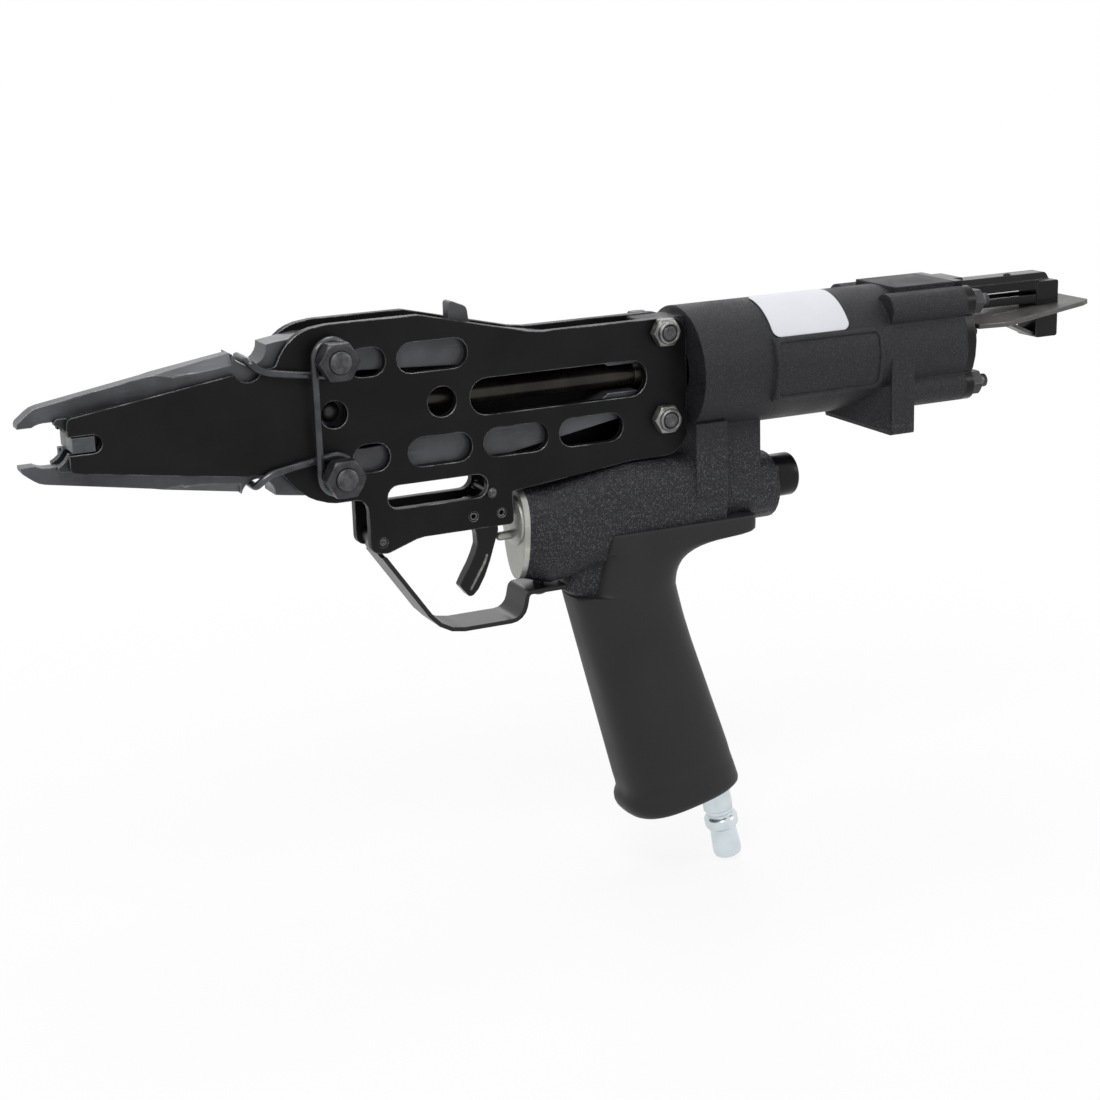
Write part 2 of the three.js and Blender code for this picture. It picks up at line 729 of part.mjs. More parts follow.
// Guide cheeks: they finish the mouth behind the jaws and guide the ring pusher.
function guideCheek(yLow, yHigh) {
  const outline = rectangle(noseX - cheekLead, noseX - cheekLead + cheekLength,
    -cheekHalfHeight, cheekHalfHeight, plateThickness / 2);
  const low = yLow - overrun;
  const high = yHigh + overrun;
  const mouth = rodY(low, high, mouthRadius, mouthX, 0);
  const track = slabY(rounded([
    [mouthX, noseSlotHalfHeight, 0], [mouthX, -noseSlotHalfHeight, 0],
    [noseX + noseSlotDepth, -noseSlotHalfHeight, noseSlotHalfHeight],
    [noseX + noseSlotDepth, noseSlotHalfHeight, noseSlotHalfHeight],
  ]), low, high);
  return cut(slabY(outline, yLow, yHigh), mouth, track);
}

// A jaw with its arm and toe; side is 1 for the upper jaw and -1 for the lower.
function jaw(side) {
  const tipX = noseX - jawTipLead;
  const tailX = pivotX + tailLength;
  const toeX = tailX - toeLength;
  const eyeInnerZ = pivotZ - jawBossRadius;
  const flip = ([x, z, r]) => [x, side * z, r];
  const slope = (jawShoulderZ - jawTipOuterZ) / (pivotX - jawShoulderAhead - tipX);
  const outerAt = (x) => jawShoulderZ + slope * (x - pivotX + jawShoulderAhead);
  const outline = rounded([
    [tipX, jawTipInnerZ, 0], [tipX, jawTipBluntZ, jawTipThickness / 3],
    [tipX + jawTipCurve, outerAt(tipX + jawTipCurve), jawTipRadius],
    [pivotX - jawShoulderAhead, jawShoulderZ, jawBossRadius],
    [pivotX - jawBossRadius, pivotZ + jawBossRadius, jawBossRadius],
    [pivotX + jawBossRadius, pivotZ + jawBossRadius, jawBossRadius],
    [pivotX + 2 * jawBossRadius, armOuterZ, jawBossRadius],
    [pivotX + jawArmShare * tailLength, armOuterZ, jawBossRadius],
    [tailX, toeOuterZ, mouthRadius / 3], [tailX, toeInnerZ, gap],
    [toeX, toeInnerZ, gap], [toeX - toeLength / 2, toeInnerZ + toeLength / 3, toeLength / 2],
    [pivotX + jawWebShare * jawBossRadius, armInnerZ, jawBossRadius],
    [pivotX + jawBossRadius / 2, eyeInnerZ, jawBossRadius],
    [pivotX - jawWebShare * jawBossRadius, eyeInnerZ, jawBossRadius / 2],
    [pivotX - 3 * jawBossRadius, mouthRadius, jawBossRadius / 2],
    [mouthX, mouthRadius, 0], [mouthX, jawTipInnerZ, 0],
  ].map(flip));
  const flareX = pivotX - jawFlareAhead;
  const thin = jawTipThickness / 2;
  const plan = [
    [tipX - overrun, -thin], [flareX, -thin], [flareX + jawFlareLength, -jawHalfThickness],
    [tailX + overrun, -jawHalfThickness], [tailX + overrun, jawHalfThickness],
    [flareX + jawFlareLength, jawHalfThickness], [flareX, thin], [tipX - overrun, thin],
  ].map(([x, y]) => new THREE.Vector2(x, y));
  const height = pivotZ + jawBossRadius + overrun;
  const planSlab = slabZ(plan, Math.min(0, side * height), Math.max(0, side * height));
  const across = jawHalfThickness + overrun;
  const solid = slabY(outline, -jawHalfThickness, jawHalfThickness).intersect(planSlab);
  const hole = rodY(-across, across, pivotBoltRadius + gap, pivotX, side * pivotZ, smallSides * 2);
  const mouth = rodY(-across, across, mouthRadius, mouthX, 0, boreSides);
  const notchX = noseX + wireNotchSetback + jawNotchLead;
  const notch = rodY(-across, across, jawNotchRadius, notchX, side * jawNotchZ);
  const bevelEndX = notchX - jawNotchRadius;
  const bevelStartX = bevelEndX - jawBevelLength;
  const bevels = [1, -1].map((flank) => convex([
    [bevelStartX, flank * thin, side * (outerAt(bevelStartX) + overrun)],
    [bevelStartX, flank * (thin + overrun), side * (outerAt(bevelStartX) + overrun)],
    [bevelStartX, flank * (thin + overrun), side * outerAt(bevelStartX)],
    [bevelEndX, flank * (jawHalfThickness - jawBevelDepth), side * (outerAt(bevelEndX) + gap)],
    [bevelEndX, flank * (jawHalfThickness + gap), side * (outerAt(bevelEndX) - jawBevelDepth)],
    [bevelEndX, flank * (jawHalfThickness + overrun), side * (outerAt(bevelEndX) + overrun)],
  ]));
  return cut(solid, hole, mouth, notch, ...bevels);
}

// The upper jaw's arm carries a small lug that stands up between the plates.
function upperJaw() {
  const lugX = pivotX + lugSetback;
  const lug = slabY(rounded([
    [lugX, armInnerZ + lugHalfWidth, 0], [lugX, lugHeight, lugHalfWidth / 2],
    [lugX + lugLength * lugTopShare, lugHeight - lugLength / 3, lugHalfWidth],
    [lugX + lugLength, armInnerZ + lugHalfWidth, 0],
  ]), -lugHalfWidth, lugHalfWidth);
  return join(jaw(1), lug);
}

// Ring pusher: a blade with two wings that show in the nose slots
const pusherFrontX = noseX + pusherSetback;
const rivetX = noseX + rivetSetback;
const pusherRearX = rivetX + pusherEyeLength / 2;

function ringPusher() {
  const blade = slabY(rounded([
    [pusherFrontX, -pusherHalfHeight, 0], [rivetX - pusherEyeLength / 2, -pusherHalfHeight, 0],
    [rivetX - pusherEyeLength / 2, -pusherEyeHalfHeight, pusherHalfHeight],
    [pusherRearX, -pusherEyeHalfHeight, pusherHalfHeight],
    [pusherRearX, pusherEyeHalfHeight, pusherHalfHeight],
    [rivetX - pusherEyeLength / 2, pusherEyeHalfHeight, pusherHalfHeight],
    [rivetX - pusherEyeLength / 2, pusherHalfHeight, 0], [pusherFrontX, pusherHalfHeight, 0],
  ]), -pusherHalfWidth, pusherHalfWidth);
  const wings = slabY(rectangle(pusherFrontX, noseX + pusherWingLength,
    -pusherHalfHeight, pusherHalfHeight), -plateOuterY + gap, plateOuterY - gap);
  const across = pusherHalfWidth + overrun;
  const hole = rodY(-across, across, rivetRadius + gap, rivetX, 0, smallSides);
  return cut(join(blade, wings), hole);
}

function pusherRivet() {
  const face = pusherHalfWidth + gap;
  const crown = face + rivetHeadHeight;
  return turnedY([
    [-crown, 0], [-crown + rivetHeadHeight / 4, rivetHeadRadius * domeShare], [-face, rivetHeadRadius],
    [-face, rivetRadius], [face, rivetRadius], [face, rivetHeadRadius],
    [crown - rivetHeadHeight / 4, rivetHeadRadius * domeShare], [crown, 0],
  ], rivetX, 0, smallSides * 2);
}

// Bolts, nuts and bushes that cross the plates
const springStackY = plateOuterY + gap + 2 * springWireRadius + springLayerPitch + gap;

function pivotBolt() {
  const end = springStackY + pivotNutThickness + gap + boltProud;
  const shank = rodY(-end, plateOuterY + gap, pivotBoltRadius, 0, 0, smallSides * 2);
  const head = slabY(hexagon(0, 0, pivotNutAcrossFlats), plateOuterY + gap,
    plateOuterY + gap + pivotHeadThickness);
  return join(shank, head);
}

function pivotNut() {
  const low = -springStackY - gap - pivotNutThickness;
  const hole = circle(0, 0, pivotBoltRadius + gap, smallSides * 2);
  return slabY(hexagon(0, 0, pivotNutAcrossFlats), low, low + pivotNutThickness, [hole]);
}

const springBush = () => ringY(-springStackY, -plateOuterY, pivotBoltRadius + gap,
  springBushRadius, 0, 0, smallSides * 2);

function rearBolt() {
  const end = plateOuterY + gap + rearNutHexThickness + rearNutCollarThickness - gap;
  const shank = rodY(-end, plateOuterY + gap, rearBoltRadius, 0, 0, smallSides);
  const head = slabY(hexagon(0, 0, rearNutAcrossFlats), plateOuterY + gap,
    plateOuterY + gap + rearHeadThickness);
  return join(shank, head);
}

function lockNut() {
  const face = -plateOuterY - gap;
  const hexEnd = face - rearNutHexThickness;
  const hole = circle(0, 0, rearBoltRadius + gap, smallSides);
  const hex = slabY(hexagon(0, 0, rearNutAcrossFlats), hexEnd, face, [hole]);
  const collar = ringY(hexEnd - rearNutCollarThickness, hexEnd + gap,
    rearBoltRadius + gap, rearNutCollarRadius, 0, 0, smallSides);
  return join(hex, collar);
}

// The jaw spring's middle line: hook, arm, curl, upright run, curl, arm, hook
function springLine() {
  const innerY = -plateOuterY - gap - springWireRadius;
  const outerY = innerY - springLayerPitch;
  const hookX = noseX + springHookSetback;
  const half = [];
  const upright = new THREE.Vector3(pivotX - springCurlRadius, outerY, 0);
  half.push(upright);
  half.push(new THREE.Vector3(upright.x, outerY, pivotZ - springCurlRadius));
  const curlSteps = Math.round(springCurlSteps * springCurlTurns);
  for (let k = 0; k <= curlSteps; k += 1) {
    const part = k / curlSteps;
    const angle = Math.PI - part * 2 * Math.PI * springCurlTurns;
    half.push(new THREE.Vector3(
      pivotX + springCurlRadius * Math.cos(angle),
      outerY + part * springLayerPitch,
      pivotZ + springCurlRadius * Math.sin(angle)));
  }
  const bend = springWireRadius * 2;
  half.push(new THREE.Vector3(hookX + bend * 2, innerY, springHookZ - bend * springHookShares[0]));
  half.push(new THREE.Vector3(hookX + bend / 2, innerY, springHookZ - bend * springHookShares[1]));
  half.push(new THREE.Vector3(hookX, innerY + bend / 2, springHookZ));
  half.push(new THREE.Vector3(hookX, innerY + springTail, springHookZ));
  const lower = half.slice(1).reverse().map((p) => new THREE.Vector3(p.x, p.y, -p.z));
  return [...lower, ...half];
}

function nearestPass(points, skip) {
  let least = Infinity;
  points.forEach((p, i) => points.forEach((q, j) => {
    if (j > i + skip) least = Math.min(least, p.distanceTo(q) - 2 * springWireRadius);
  }));
  return least;
}

// The point list, filled in so that no two neighbours are further apart than step
function dense(points, step) {
  return points.slice(1).flatMap((end, k) => {
    const start = points[k];
    const parts = Math.ceil(start.distanceTo(end) / step);
    return Array.from({ length: parts }, (_, i) => start.clone().lerp(end, i / parts));
  });
}

// Casting

// The head's outline with its four bosses, between two places on X
function headBlock(xLow, xHigh, cylinder) {
  const top = cylinderRadius + headTopRise;
  const flat = slabX(rectangle(-headTopHalfWidth, headTopHalfWidth, 0, top), xLow, xHigh);
  const barrel = rodX(xLow, xHigh, cylinder, 0, 0, boreSides);
  const bosses = [1, -1].flatMap((near) => [1, -1].map((up) =>
    rodX(xLow, xHigh, bossRadius, near * bossY, up * bossZ)));
  return join(barrel, flat, ...bosses);
}

const bossPlaces = [['near_upper', -1, 1], ['near_lower', -1, -1],
  ['far_upper', 1, 1], ['far_lower', 1, -1]];

function screwHoles(xLow, xHigh) {
  return bossPlaces.map(([, near, up]) =>
    rodX(xLow, xHigh, capScrewRadius + gap, near * bossY, up * bossZ, smallSides));
}

// The valve housing, grown by a clearance where another piece is cut to it
function valveHousing(grow) {
  const rearX = housingFrontX + housingLength;
  const middleX = housingFrontX + housingLength / 2;
  const middleBottom = (housingFrontBottom + housingRearBottom) / 2;
  const sections = [
    [housingFrontX - grow, housingFrontTop, housingFrontBottom + housingFrontRise,
      housingFrontHalfWidth, housingFrontSquareness, housingFrontTaper],
    [housingFrontX + housingNoseLength, housingFrontTop, housingFrontBottom, housingHalfWidth,
      housingFrontSquareness, 0],
    [middleX, housingRearTop, middleBottom, housingHalfWidth, housingSquareness, 0],
    [rearX + grow, housingRearTop, housingRearBottom, housingHalfWidth, housingSquareness, 0],
  ];
  return loft(sections.map(([x, top, bottom, halfWidth, power, taper]) =>
    sectionAtX(x, (top + bottom) / 2, halfWidth + grow, (top - bottom) / 2 + grow, power, taper)));
}

function rearBoss(grow) {
  const rearX = housingFrontX + housingLength;
  return rodX(rearX - neckRearHalfWidth, rearX + rearBossLength + grow, rearBossRadius + grow,
    0, rearBossZ);
}

function handleCore(grow) {
  const sections = [
    [handleTopZ, handleTopX, handleRootHalfLength, 0],
    [handleRootZ, handleRootX, handleRootHalfLength, 0],
    [handleNeckZ, handleNeckX, handleNeckHalfLength, 0],
    [handleWaistZ, handleWaistX, handleWaistHalfLength, 0],
    [handleBottomZ - grow, handleBottomX, handleBottomHalfLength, Math.tan(plugLean)],
  ];
  return loft(sections.map(([z, x, halfX, slope]) =>
    sectionAtZ(z, x, halfX + grow, handleHalfWidth + grow, handleSquareness, slope)));
}

function footAndGusset() {
  const rearX = cylinderRearX - footSetback;
  const frontX = rearX - footLength;
  const foot = slabX(rectangle(-footHalfWidth, footHalfWidth, -footHeight, 0, edge), frontX, rearX);
  const gusset = convex([1, -1].flatMap((flank) => [
    [frontX - gussetLength, flank * gussetTipHalfWidth, -cylinderRadius + headTopRise],
    [frontX - gussetLength, flank * gussetTipHalfWidth, -cylinderBore],
    [frontX + sink, flank * footHalfWidth, -footHeight + edge],
    [frontX + sink, flank * footHalfWidth, -cylinderRadius / 2],
  ]));
  return join(foot, gusset);
}

// A sector of a tube round the cylinder; angles run from the top towards the near side.
function cylinderSector(xLow, xHigh, inner, outer, fromAngle, toAngle) {
  const steps = boreSides / 2;
  const arc = (r) => Array.from({ length: steps + 1 }, (_, k) => {
    const angle = THREE.MathUtils.degToRad(fromAngle + ((toAngle - fromAngle) * k) / steps);
    return new THREE.Vector2(-r * Math.sin(angle), r * Math.cos(angle));
  });
  return slabX([...arc(outer), ...arc(inner).reverse()], xLow, xHigh);
}

function casting() {
  const rear = cylinderRearX;
  const front = cylinderFrontX;
  const barrel = rodX(front, rear, cylinderRadius, 0, 0, boreSides * 2);
  const head = headBlock(rear - headLength, rear, cylinderRadius);
  const bosses = [1, -1].flatMap((near) => [1, -1].map((up) =>
    rodX(rear - headLength - bossLead, rear, bossRadius, near * bossY, up * bossZ)));
  const pad = cylinderSector(-padStart - padLength, -padStart, cylinderBore + cylinderWall / 4,
    cylinderRadius + padRise, padTopAngle, padBottomAngle);
  const ears = [1, -1].map((side) => slabY(rounded([
    [front - earLength, side * earInnerZ, edge], [front - earLength, side * earOuterZ, edge],
    [front + sink, side * earOuterZ, 0], [front + sink, side * earInnerZ, 0],
  ]), -plateHalfGap, plateHalfGap));
  const housingMiddle = (housingRearTop + housingRearBottom) / 2;
  const neckSlab = (halfWidth, xLow, xHigh) => slabX(
    rectangle(-halfWidth, halfWidth, housingMiddle, -cylinderBore + gap), xLow, xHigh);
  const neck = neckSlab(neckFrontHalfWidth, front, front + neckFrontLength);
  const rearNeck = neckSlab(neckRearHalfWidth, front + neckFrontLength - sink,
    housingFrontX + housingLength + rearBossLength - neckRearSetback);
  const body = join(barrel, head, ...bosses, pad, ...ears, neck, rearNeck, footAndGusset(),
    valveHousing(0), rearBoss(0), handleCore(0));
  const bore = rodX(boreFrontX, rear + overrun, cylinderBore, 0, 0, boreSides);
  const cavity = rodX(front - overrun, front + cavityDepth, cavityRadius, 0, 0, boreSides);
  const bushHole = rodX(front + cavityDepth - overrun, boreFrontX + overrun, bushRadius + gap);
  const earHoles = [1, -1].map((side) => rodY(-plateHalfGap - overrun, plateHalfGap + overrun,
    rearBoltRadius + gap, rearBoltX, side * rearBoltZ, smallSides));
  const springSeatX = valveSpringStartX + valveSpringLength + gap;
  const valve = join(rodX(housingFrontX - overrun, springSeatX, valveBore, 0, valveZ),
    rodX(housingFrontX, housingFrontX + valveBoreDepth, valveInnerBore, 0, valveZ));
  const exhaust = rodX(housingFrontX + housingLength + rearBossLength - exhaustNeckLength - gap,
    housingFrontX + housingLength + rearBossLength + overrun, exhaustNeckRadius + gap, 0, exhaustZ);
  const passage = wire([
    new THREE.Vector3(plugX - Math.sin(plugLean) * plugThread, 0, plugZ + Math.cos(plugLean) * plugThread),
    new THREE.Vector3(handleWaistX, 0, handleWaistZ), new THREE.Vector3(handleNeckX, 0, handleNeckZ),
    new THREE.Vector3(handleNeckX, 0, valveZ),
  ], handleBore, smallSides);
  const plugHole = plugBar(plugThreadRadius, plugThread + gap, overrun);
  const capHoles = screwHoles(rear - capScrewLength, rear + overrun);
  const guardHole = rodZ(housingFrontBottom - overrun, housingFrontBottom + guardScrewDepth,
    guardScrewShank + gap, guardRearX + guardFootLength / 2, 0, smallSides);
  return cut(body, bore, cavity, bushHole, ...earHoles, valve, exhaust, passage, plugHole,
    ...capHoles, guardHole);
}

// Air plug: a piece turned about an axis square to the handle's bottom
function leaning(solid) {
  const matrix = new THREE.Matrix4().makeRotationY(-plugLean);
  matrix.setPosition(plugX, 0, plugZ);
  return solid.transform(matrix.elements);
}

// The bar that makes room for the plug: inside is its depth, outside how far it stands out
function plugBar(radius, inside, outside) {
  return leaning(rodZ(-outside, inside, radius + gap, 0, 0));
}

function airPlug() {
  const bodyEnd = -gripFloor - gap - plugBodyLength;
  const tipEnd = bodyEnd - plugTipLength;
  const [neckZ, collarZ] = plugTipShares.map((share) => tipEnd + plugTipLength * share);
  const profile = [
    [tipEnd, plugBore], [tipEnd, plugTipRadius - edge], [tipEnd + edge, plugTipRadius],
    [neckZ, plugNeckRadius], [collarZ, plugCollarRadius], [bodyEnd, plugCollarRadius],
    [bodyEnd, plugBodyRadius], [-gap, plugBodyRadius], [-gap, plugThreadRadius],
    [plugThread, plugThreadRadius], [plugThread, plugBore], [tipEnd, plugBore],
  ];
  const turnedPlug = turnedZ(profile);
  const flats = [1, -1].map((side) => slabY(
    rectangle(-plugCollarRadius * 2, plugCollarRadius * 2, bodyEnd + edge, bodyEnd + plugBodyLength - edge),
    side > 0 ? plugFlats / 2 : -plugFlats, side > 0 ? plugFlats : -plugFlats / 2));
  return leaning(cut(turnedPlug, ...flats));
}

// Rubber grip round the handle, with a tang under the valve housing
function gripSleeve() {
  const slope = Math.tan(plugLean);
  const bottomZ = handleBottomZ + slope * (gripBottomX - handleBottomX) - gripFloor / Math.cos(plugLean);
  const main = loft([
    [gripShoulderZ, gripShoulderX, gripTopHalfLength, 0],
    [gripWaistZ, gripWaistX, gripWaistHalfLength, 0],
    [bottomZ + gripToeRise, gripToeX, gripToeHalfLength, slope],
    [bottomZ + gripRimRise, gripRimX, gripRimHalfLength, slope],
    [bottomZ, gripBottomX, gripBottomHalfLength, slope],
  ].map(([z, x, halfX, rise]) => sectionAtZ(z, x, halfX, gripHalfWidth, handleSquareness, rise)));
  const tangBottomZ = gripTopZ - gripTangThickness;
  const notchAt = (z) => gripNotchX + (gripNotchLean * (z - gripTopZ)) / (gripTopZ - gripShoulderZ);
  const tang = slabY(rounded([
    [notchAt(tangBottomZ), tangBottomZ, 0], [gripNotchX, gripTopZ, edge],
    [gripTangX, gripTopZ, edge], [gripTangX, tangBottomZ, 2 * edge],
  ]), -gripHalfWidth, gripHalfWidth);
  const neck = loft(gripNeckLine.map(([down, rearX], k) => {
    const rise = k === 0 ? sink : 0;
    const z = tangBottomZ + rise + down * (gripShoulderZ - sink - tangBottomZ);
    const frontX = notchAt(z) + gap;
    return sectionAtZ(z, (frontX + rearX) / 2, (rearX - frontX) / 2, gripHalfWidth - gap,
      gripNeckSquareness);
  }).reverse());
  return cut(join(main, tang, neck), valveHousing(gap), rearBoss(gap), handleCore(gap),
    plugBar(plugBodyRadius, 0, plugBodyLength));
}

// Valve cap, stem, spring and exhaust
function valveCap() {
  const bottom = housingFrontBottom + housingFrontRise;
  const middle = (housingFrontTop + bottom) / 2;
  const halfHeight = (housingFrontTop - bottom) / 2;
  const plate = loft([housingFrontX - capPlateThickness, housingFrontX].map((x) =>
    sectionAtX(x, middle, housingFrontHalfWidth, halfHeight, housingFrontSquareness,
      housingFrontTaper)));
  const bushFrontX = housingFrontX - capPlateThickness - capBushLength;
  const bush = rodX(bushFrontX, housingFrontX, capBushRadius, 0, valveZ);
  const hole = rodX(bushFrontX - overrun, housingFrontX + overrun, stemRadius + gap, 0, valveZ);
  return cut(join(plate, bush), hole);
}

function valveStem() {
  const collarX = housingFrontX + gap;
  return turnedX([
    [stemFrontX, 0], [stemFrontX, stemRadius / 2], [stemFrontX + stemRadius / 2, stemRadius],
    [collarX, stemRadius], [collarX, stemCollarRadius], [collarX + stemRadius, stemCollarRadius],
    [collarX + stemRadius, stemRadius], [stemFrontX + stemLength, stemRadius],
    [stemFrontX + stemLength, 0],
  ], 0, valveZ);
}

function valveSpring() {
  return ringX(valveSpringStartX, valveSpringStartX + valveSpringLength,
    valveSpringRadius - valveSpringWall, valveSpringRadius, 0, valveZ);
}

function exhaustKnob() {
  const face = housingFrontX + housingLength + rearBossLength;
  return turnedX([
    [face - exhaustNeckLength, 0], [face - exhaustNeckLength, exhaustNeckRadius],
    [face + gap, exhaustNeckRadius], [face + gap, exhaustRadius],
    [face + exhaustLength - edge, exhaustRadius], [face + exhaustLength, exhaustRadius - edge],
    [face + exhaustLength, 0],
  ], 0, exhaustZ);
}

// Trigger and guard
function trigger() {
  const outline = triggerOutlineShares.map(([back, up, r]) =>
    [triggerPinX + back * triggerReach, triggerPinZ + up * triggerReach, r * triggerReach]);
  const blade = slabY(rounded(outline), -triggerHalfWidth, triggerHalfWidth);
  const hub = rodY(-triggerHubHalfWidth, triggerHubHalfWidth, triggerHubRadius, triggerPinX,
    triggerPinZ);
  return cut(join(blade, hub), rodY(-triggerHubHalfWidth - overrun, triggerHubHalfWidth + overrun,
    pinRadius + gap, triggerPinX, triggerPinZ, smallSides));
}

const crossPin = (radius) => rodY(-plateOuterY, plateOuterY, radius, 0, 0, smallSides);

function plateScrew() {
  const face = -plateOuterY - gap;
  return join(rodY(face, plateOuterY, plateScrewRadius, 0, 0, smallSides),
    rodY(face - plateScrewRadius, face, plateScrewHeadRadius, 0, 0, smallSides));
}

function guardStrap() {
  const footZ = housingFrontBottom - gap - guardThickness / 2;
  const run = guardRearX - guardFrontX;
  const drop = guardScrewZ - guardBottomZ;
  const line = [
    ...guardLineShares.map(([back, down, r]) =>
      [guardFrontX + back * run, guardScrewZ - down * drop, r * drop]),
    [guardRearX, footZ, guardBendRadius], [guardRearX + guardFootLength, footZ, 0],
  ];
  const eyeTopZ = guardScrewZ + guardEyeRadius;
  const band = slabY(strip(line, guardThickness), -guardTabHalfWidth, guardTabHalfWidth);
  const plateBottom = guardScrewZ - guardEyeRadius - 3 * gap;
  const wide = slabY(strip(line, guardThickness), -guardHalfWidth, guardHalfWidth);
  const below = slabY(rectangle(guardFrontX - overrun, guardRearX + guardFootLength + overrun,
    guardBottomZ - overrun, plateBottom - overrun), -guardHalfWidth - overrun, guardHalfWidth + overrun);
  const eye = rodY(-guardTabHalfWidth, guardTabHalfWidth, guardEyeRadius, guardScrewX,
    guardScrewZ, smallSides * 2);
  const hole = rodY(-plateOuterY, plateOuterY, pinRadius + gap, guardScrewX, guardScrewZ,
    smallSides);
  const footHole = rodZ(footZ - overrun, footZ + overrun, guardScrewShank + gap,
    guardRearX + guardFootLength / 2, 0, smallSides);
  const above = slabY(rectangle(guardFrontX - overrun, guardScrewX, eyeTopZ - guardEyeRadius,
    eyeTopZ + overrun), -plateOuterY, plateOuterY);
  return cut(join(cut(band, above), wide.intersect(below), eye), hole, footHole);
}

function guardRearScrew() {
  const face = housingFrontBottom - 2 * gap - guardThickness;
  return turnedZ([
    [face - guardScrewHeadHeight, 0], [face - guardScrewHeadHeight, guardScrewHead * domeShare],
    [face - guardScrewHeadHeight / 2, guardScrewHead], [face, guardScrewHead],
    [face, guardScrewShank], [face + guardScrewDepth, guardScrewShank], [face + guardScrewDepth, 0],
  ], guardRearX + guardFootLength / 2, 0, smallSides * 2);
}

// Magazine rail, follower and gate
function magazineRail() {
  const outer = slabY(rounded([
    [0, railBottomZ, 0], [railLowerLength, railBottomZ, 0], [railLowerLength, railStepZ, 0],
    [railLength, railStepZ, 0], [railLength, railTopZ, edge], [0, railTopZ, 0],
  ]), -railHalfWidth, railHalfWidth);
  const inside = slabX(rectangle(-railHalfWidth + railWall, railHalfWidth - railWall,
    railBottomZ + railWall, railStepZ), railWall, railLength + overrun);
  const slotZ = (railBottomZ + railStepZ) / 2;
  const windows = slabY(rectangle(railWall * 2, railLowerLength + overrun,
    slotZ - railSlotHalfHeight, slotZ + railSlotHalfHeight),
  -railHalfWidth - overrun, railHalfWidth + overrun);
  const ridge = slabX(rounded([
    [-railHalfWidth - overrun, railTopZ + overrun, 0],
    [-railHalfWidth - overrun, railTopZ - railRidge, 0],
    [-railHalfWidth, railTopZ - railRidge, 0], [-railHalfWidth + railRidge, railTopZ + gap, 0],
    [-railHalfWidth + railRidge, railTopZ + overrun, 0],
  ]), -overrun, railLength + overrun);
  return cut(outer, inside, windows, ridge, ridge.mirror([0, 1, 0]));
}

function ringFollower() {
  const slotZ = (railBottomZ + railStepZ) / 2;
  const start = railWall + gap;
  const block = slabX(rectangle(-railHalfWidth + railWall + gap, railHalfWidth - railWall - gap,
    railBottomZ + railWall + gap, railStepZ - gap), start, start + followerLength);
  const tab = slabY(rectangle(start + railWall * 2, start + followerLength - railWall,
    slotZ - railSlotHalfHeight + gap, slotZ + railSlotHalfHeight - gap),
  -railHalfWidth - railWall, 0);
  return join(block, tab);
}

const gateUnderZ = gatePinZ + gateKnuckleRadius + gap;

function gatePlate() {
  const [start, end, width] = gateWindowShares;
  const near = gateFrontHalfWidth * width;
  const inner = railHalfWidth + gateWindowMargin;
  const half = [
    [gap, gateCornerHalfWidth, edge], [gateLength * gateFrontShare, gateFrontHalfWidth, 2 * edge],
    [gateLength * gateShoulderShare, gateShoulderHalfWidth, edge],
    [gateLength, gateTipHalfWidth, edge],
  ];
  const outline = [...half.map(([x, y, r]) => [x, -y, r]), ...half.toReversed()];
  const windows = [1, -1].map((side) => rounded([
    [gateLength * start, side * near, edge], [gateLength * end, side * inner, edge],
    [gateLength * start, side * inner, edge],
  ]));
  const level = slabZ(rounded(outline), gateUnderZ, gateUnderZ + gateThickness, windows);
  const turn = new THREE.Matrix4().makeRotationY(-gateTilt);
  const plate = level.translate([-gatePinX, 0, -gatePinZ]).transform(turn.elements)
    .translate([gatePinX, 0, gatePinZ]);
  const knuckle = rodY(-gateKnuckleHalfLength, gateKnuckleHalfLength, gateKnuckleRadius,
    gatePinX, gatePinZ, smallSides);
  const web = slabY(rectangle(gatePinX - gateKnuckleRadius / 2, gatePinX + gateKnuckleRadius / 2,
    gatePinZ, gateUnderZ + gap), -gateKnuckleHalfLength, gateKnuckleHalfLength);
  const hole = rodY(-gateKnuckleHalfLength - overrun, gateKnuckleHalfLength + overrun,
    gatePinRadius + gap, gatePinX, gatePinZ, smallSides);
  const room = slabX(rectangle(-railHalfWidth - gap, railHalfWidth + gap, gateBlockBottomZ, railTopZ),
    gateBlockStart - gap, gateBlockStart + gateBlockLength + gap);
  const front = slabX(rectangle(-gateFrontHalfWidth - overrun, gateFrontHalfWidth + overrun,
    gatePinZ, railBottomZ), gap - overrun, gap);
  return cut(join(plate, knuckle, web), hole, room, front);
}

function gateBlock() {
  return slabY(rounded([
    [gateBlockStart, gateBlockBottomZ, edge],
    [gateBlockStart + gateBlockLength, gateBlockBottomZ, edge],
    [gateBlockStart + gateBlockLength, gateBlockTopZ, edge], [gateBlockStart, gateBlockTopZ, edge],
  ]), -railHalfWidth, railHalfWidth);
}

function gateBrace() {
  const low = gateBlockBottomZ + gateBraceThickness;
  return slabY(strip([
    [gateBraceStart, gateUnderZ - gap - gateBraceThickness / 2, 0],
    [gateBraceStart + gateBraceFoot, gateUnderZ - gap - gateBraceThickness / 2, gateBraceBend],
    [gateBlockStart - gap, low, 0],
  ], gateBraceThickness), -railHalfWidth + railWall, railHalfWidth - railWall);
}

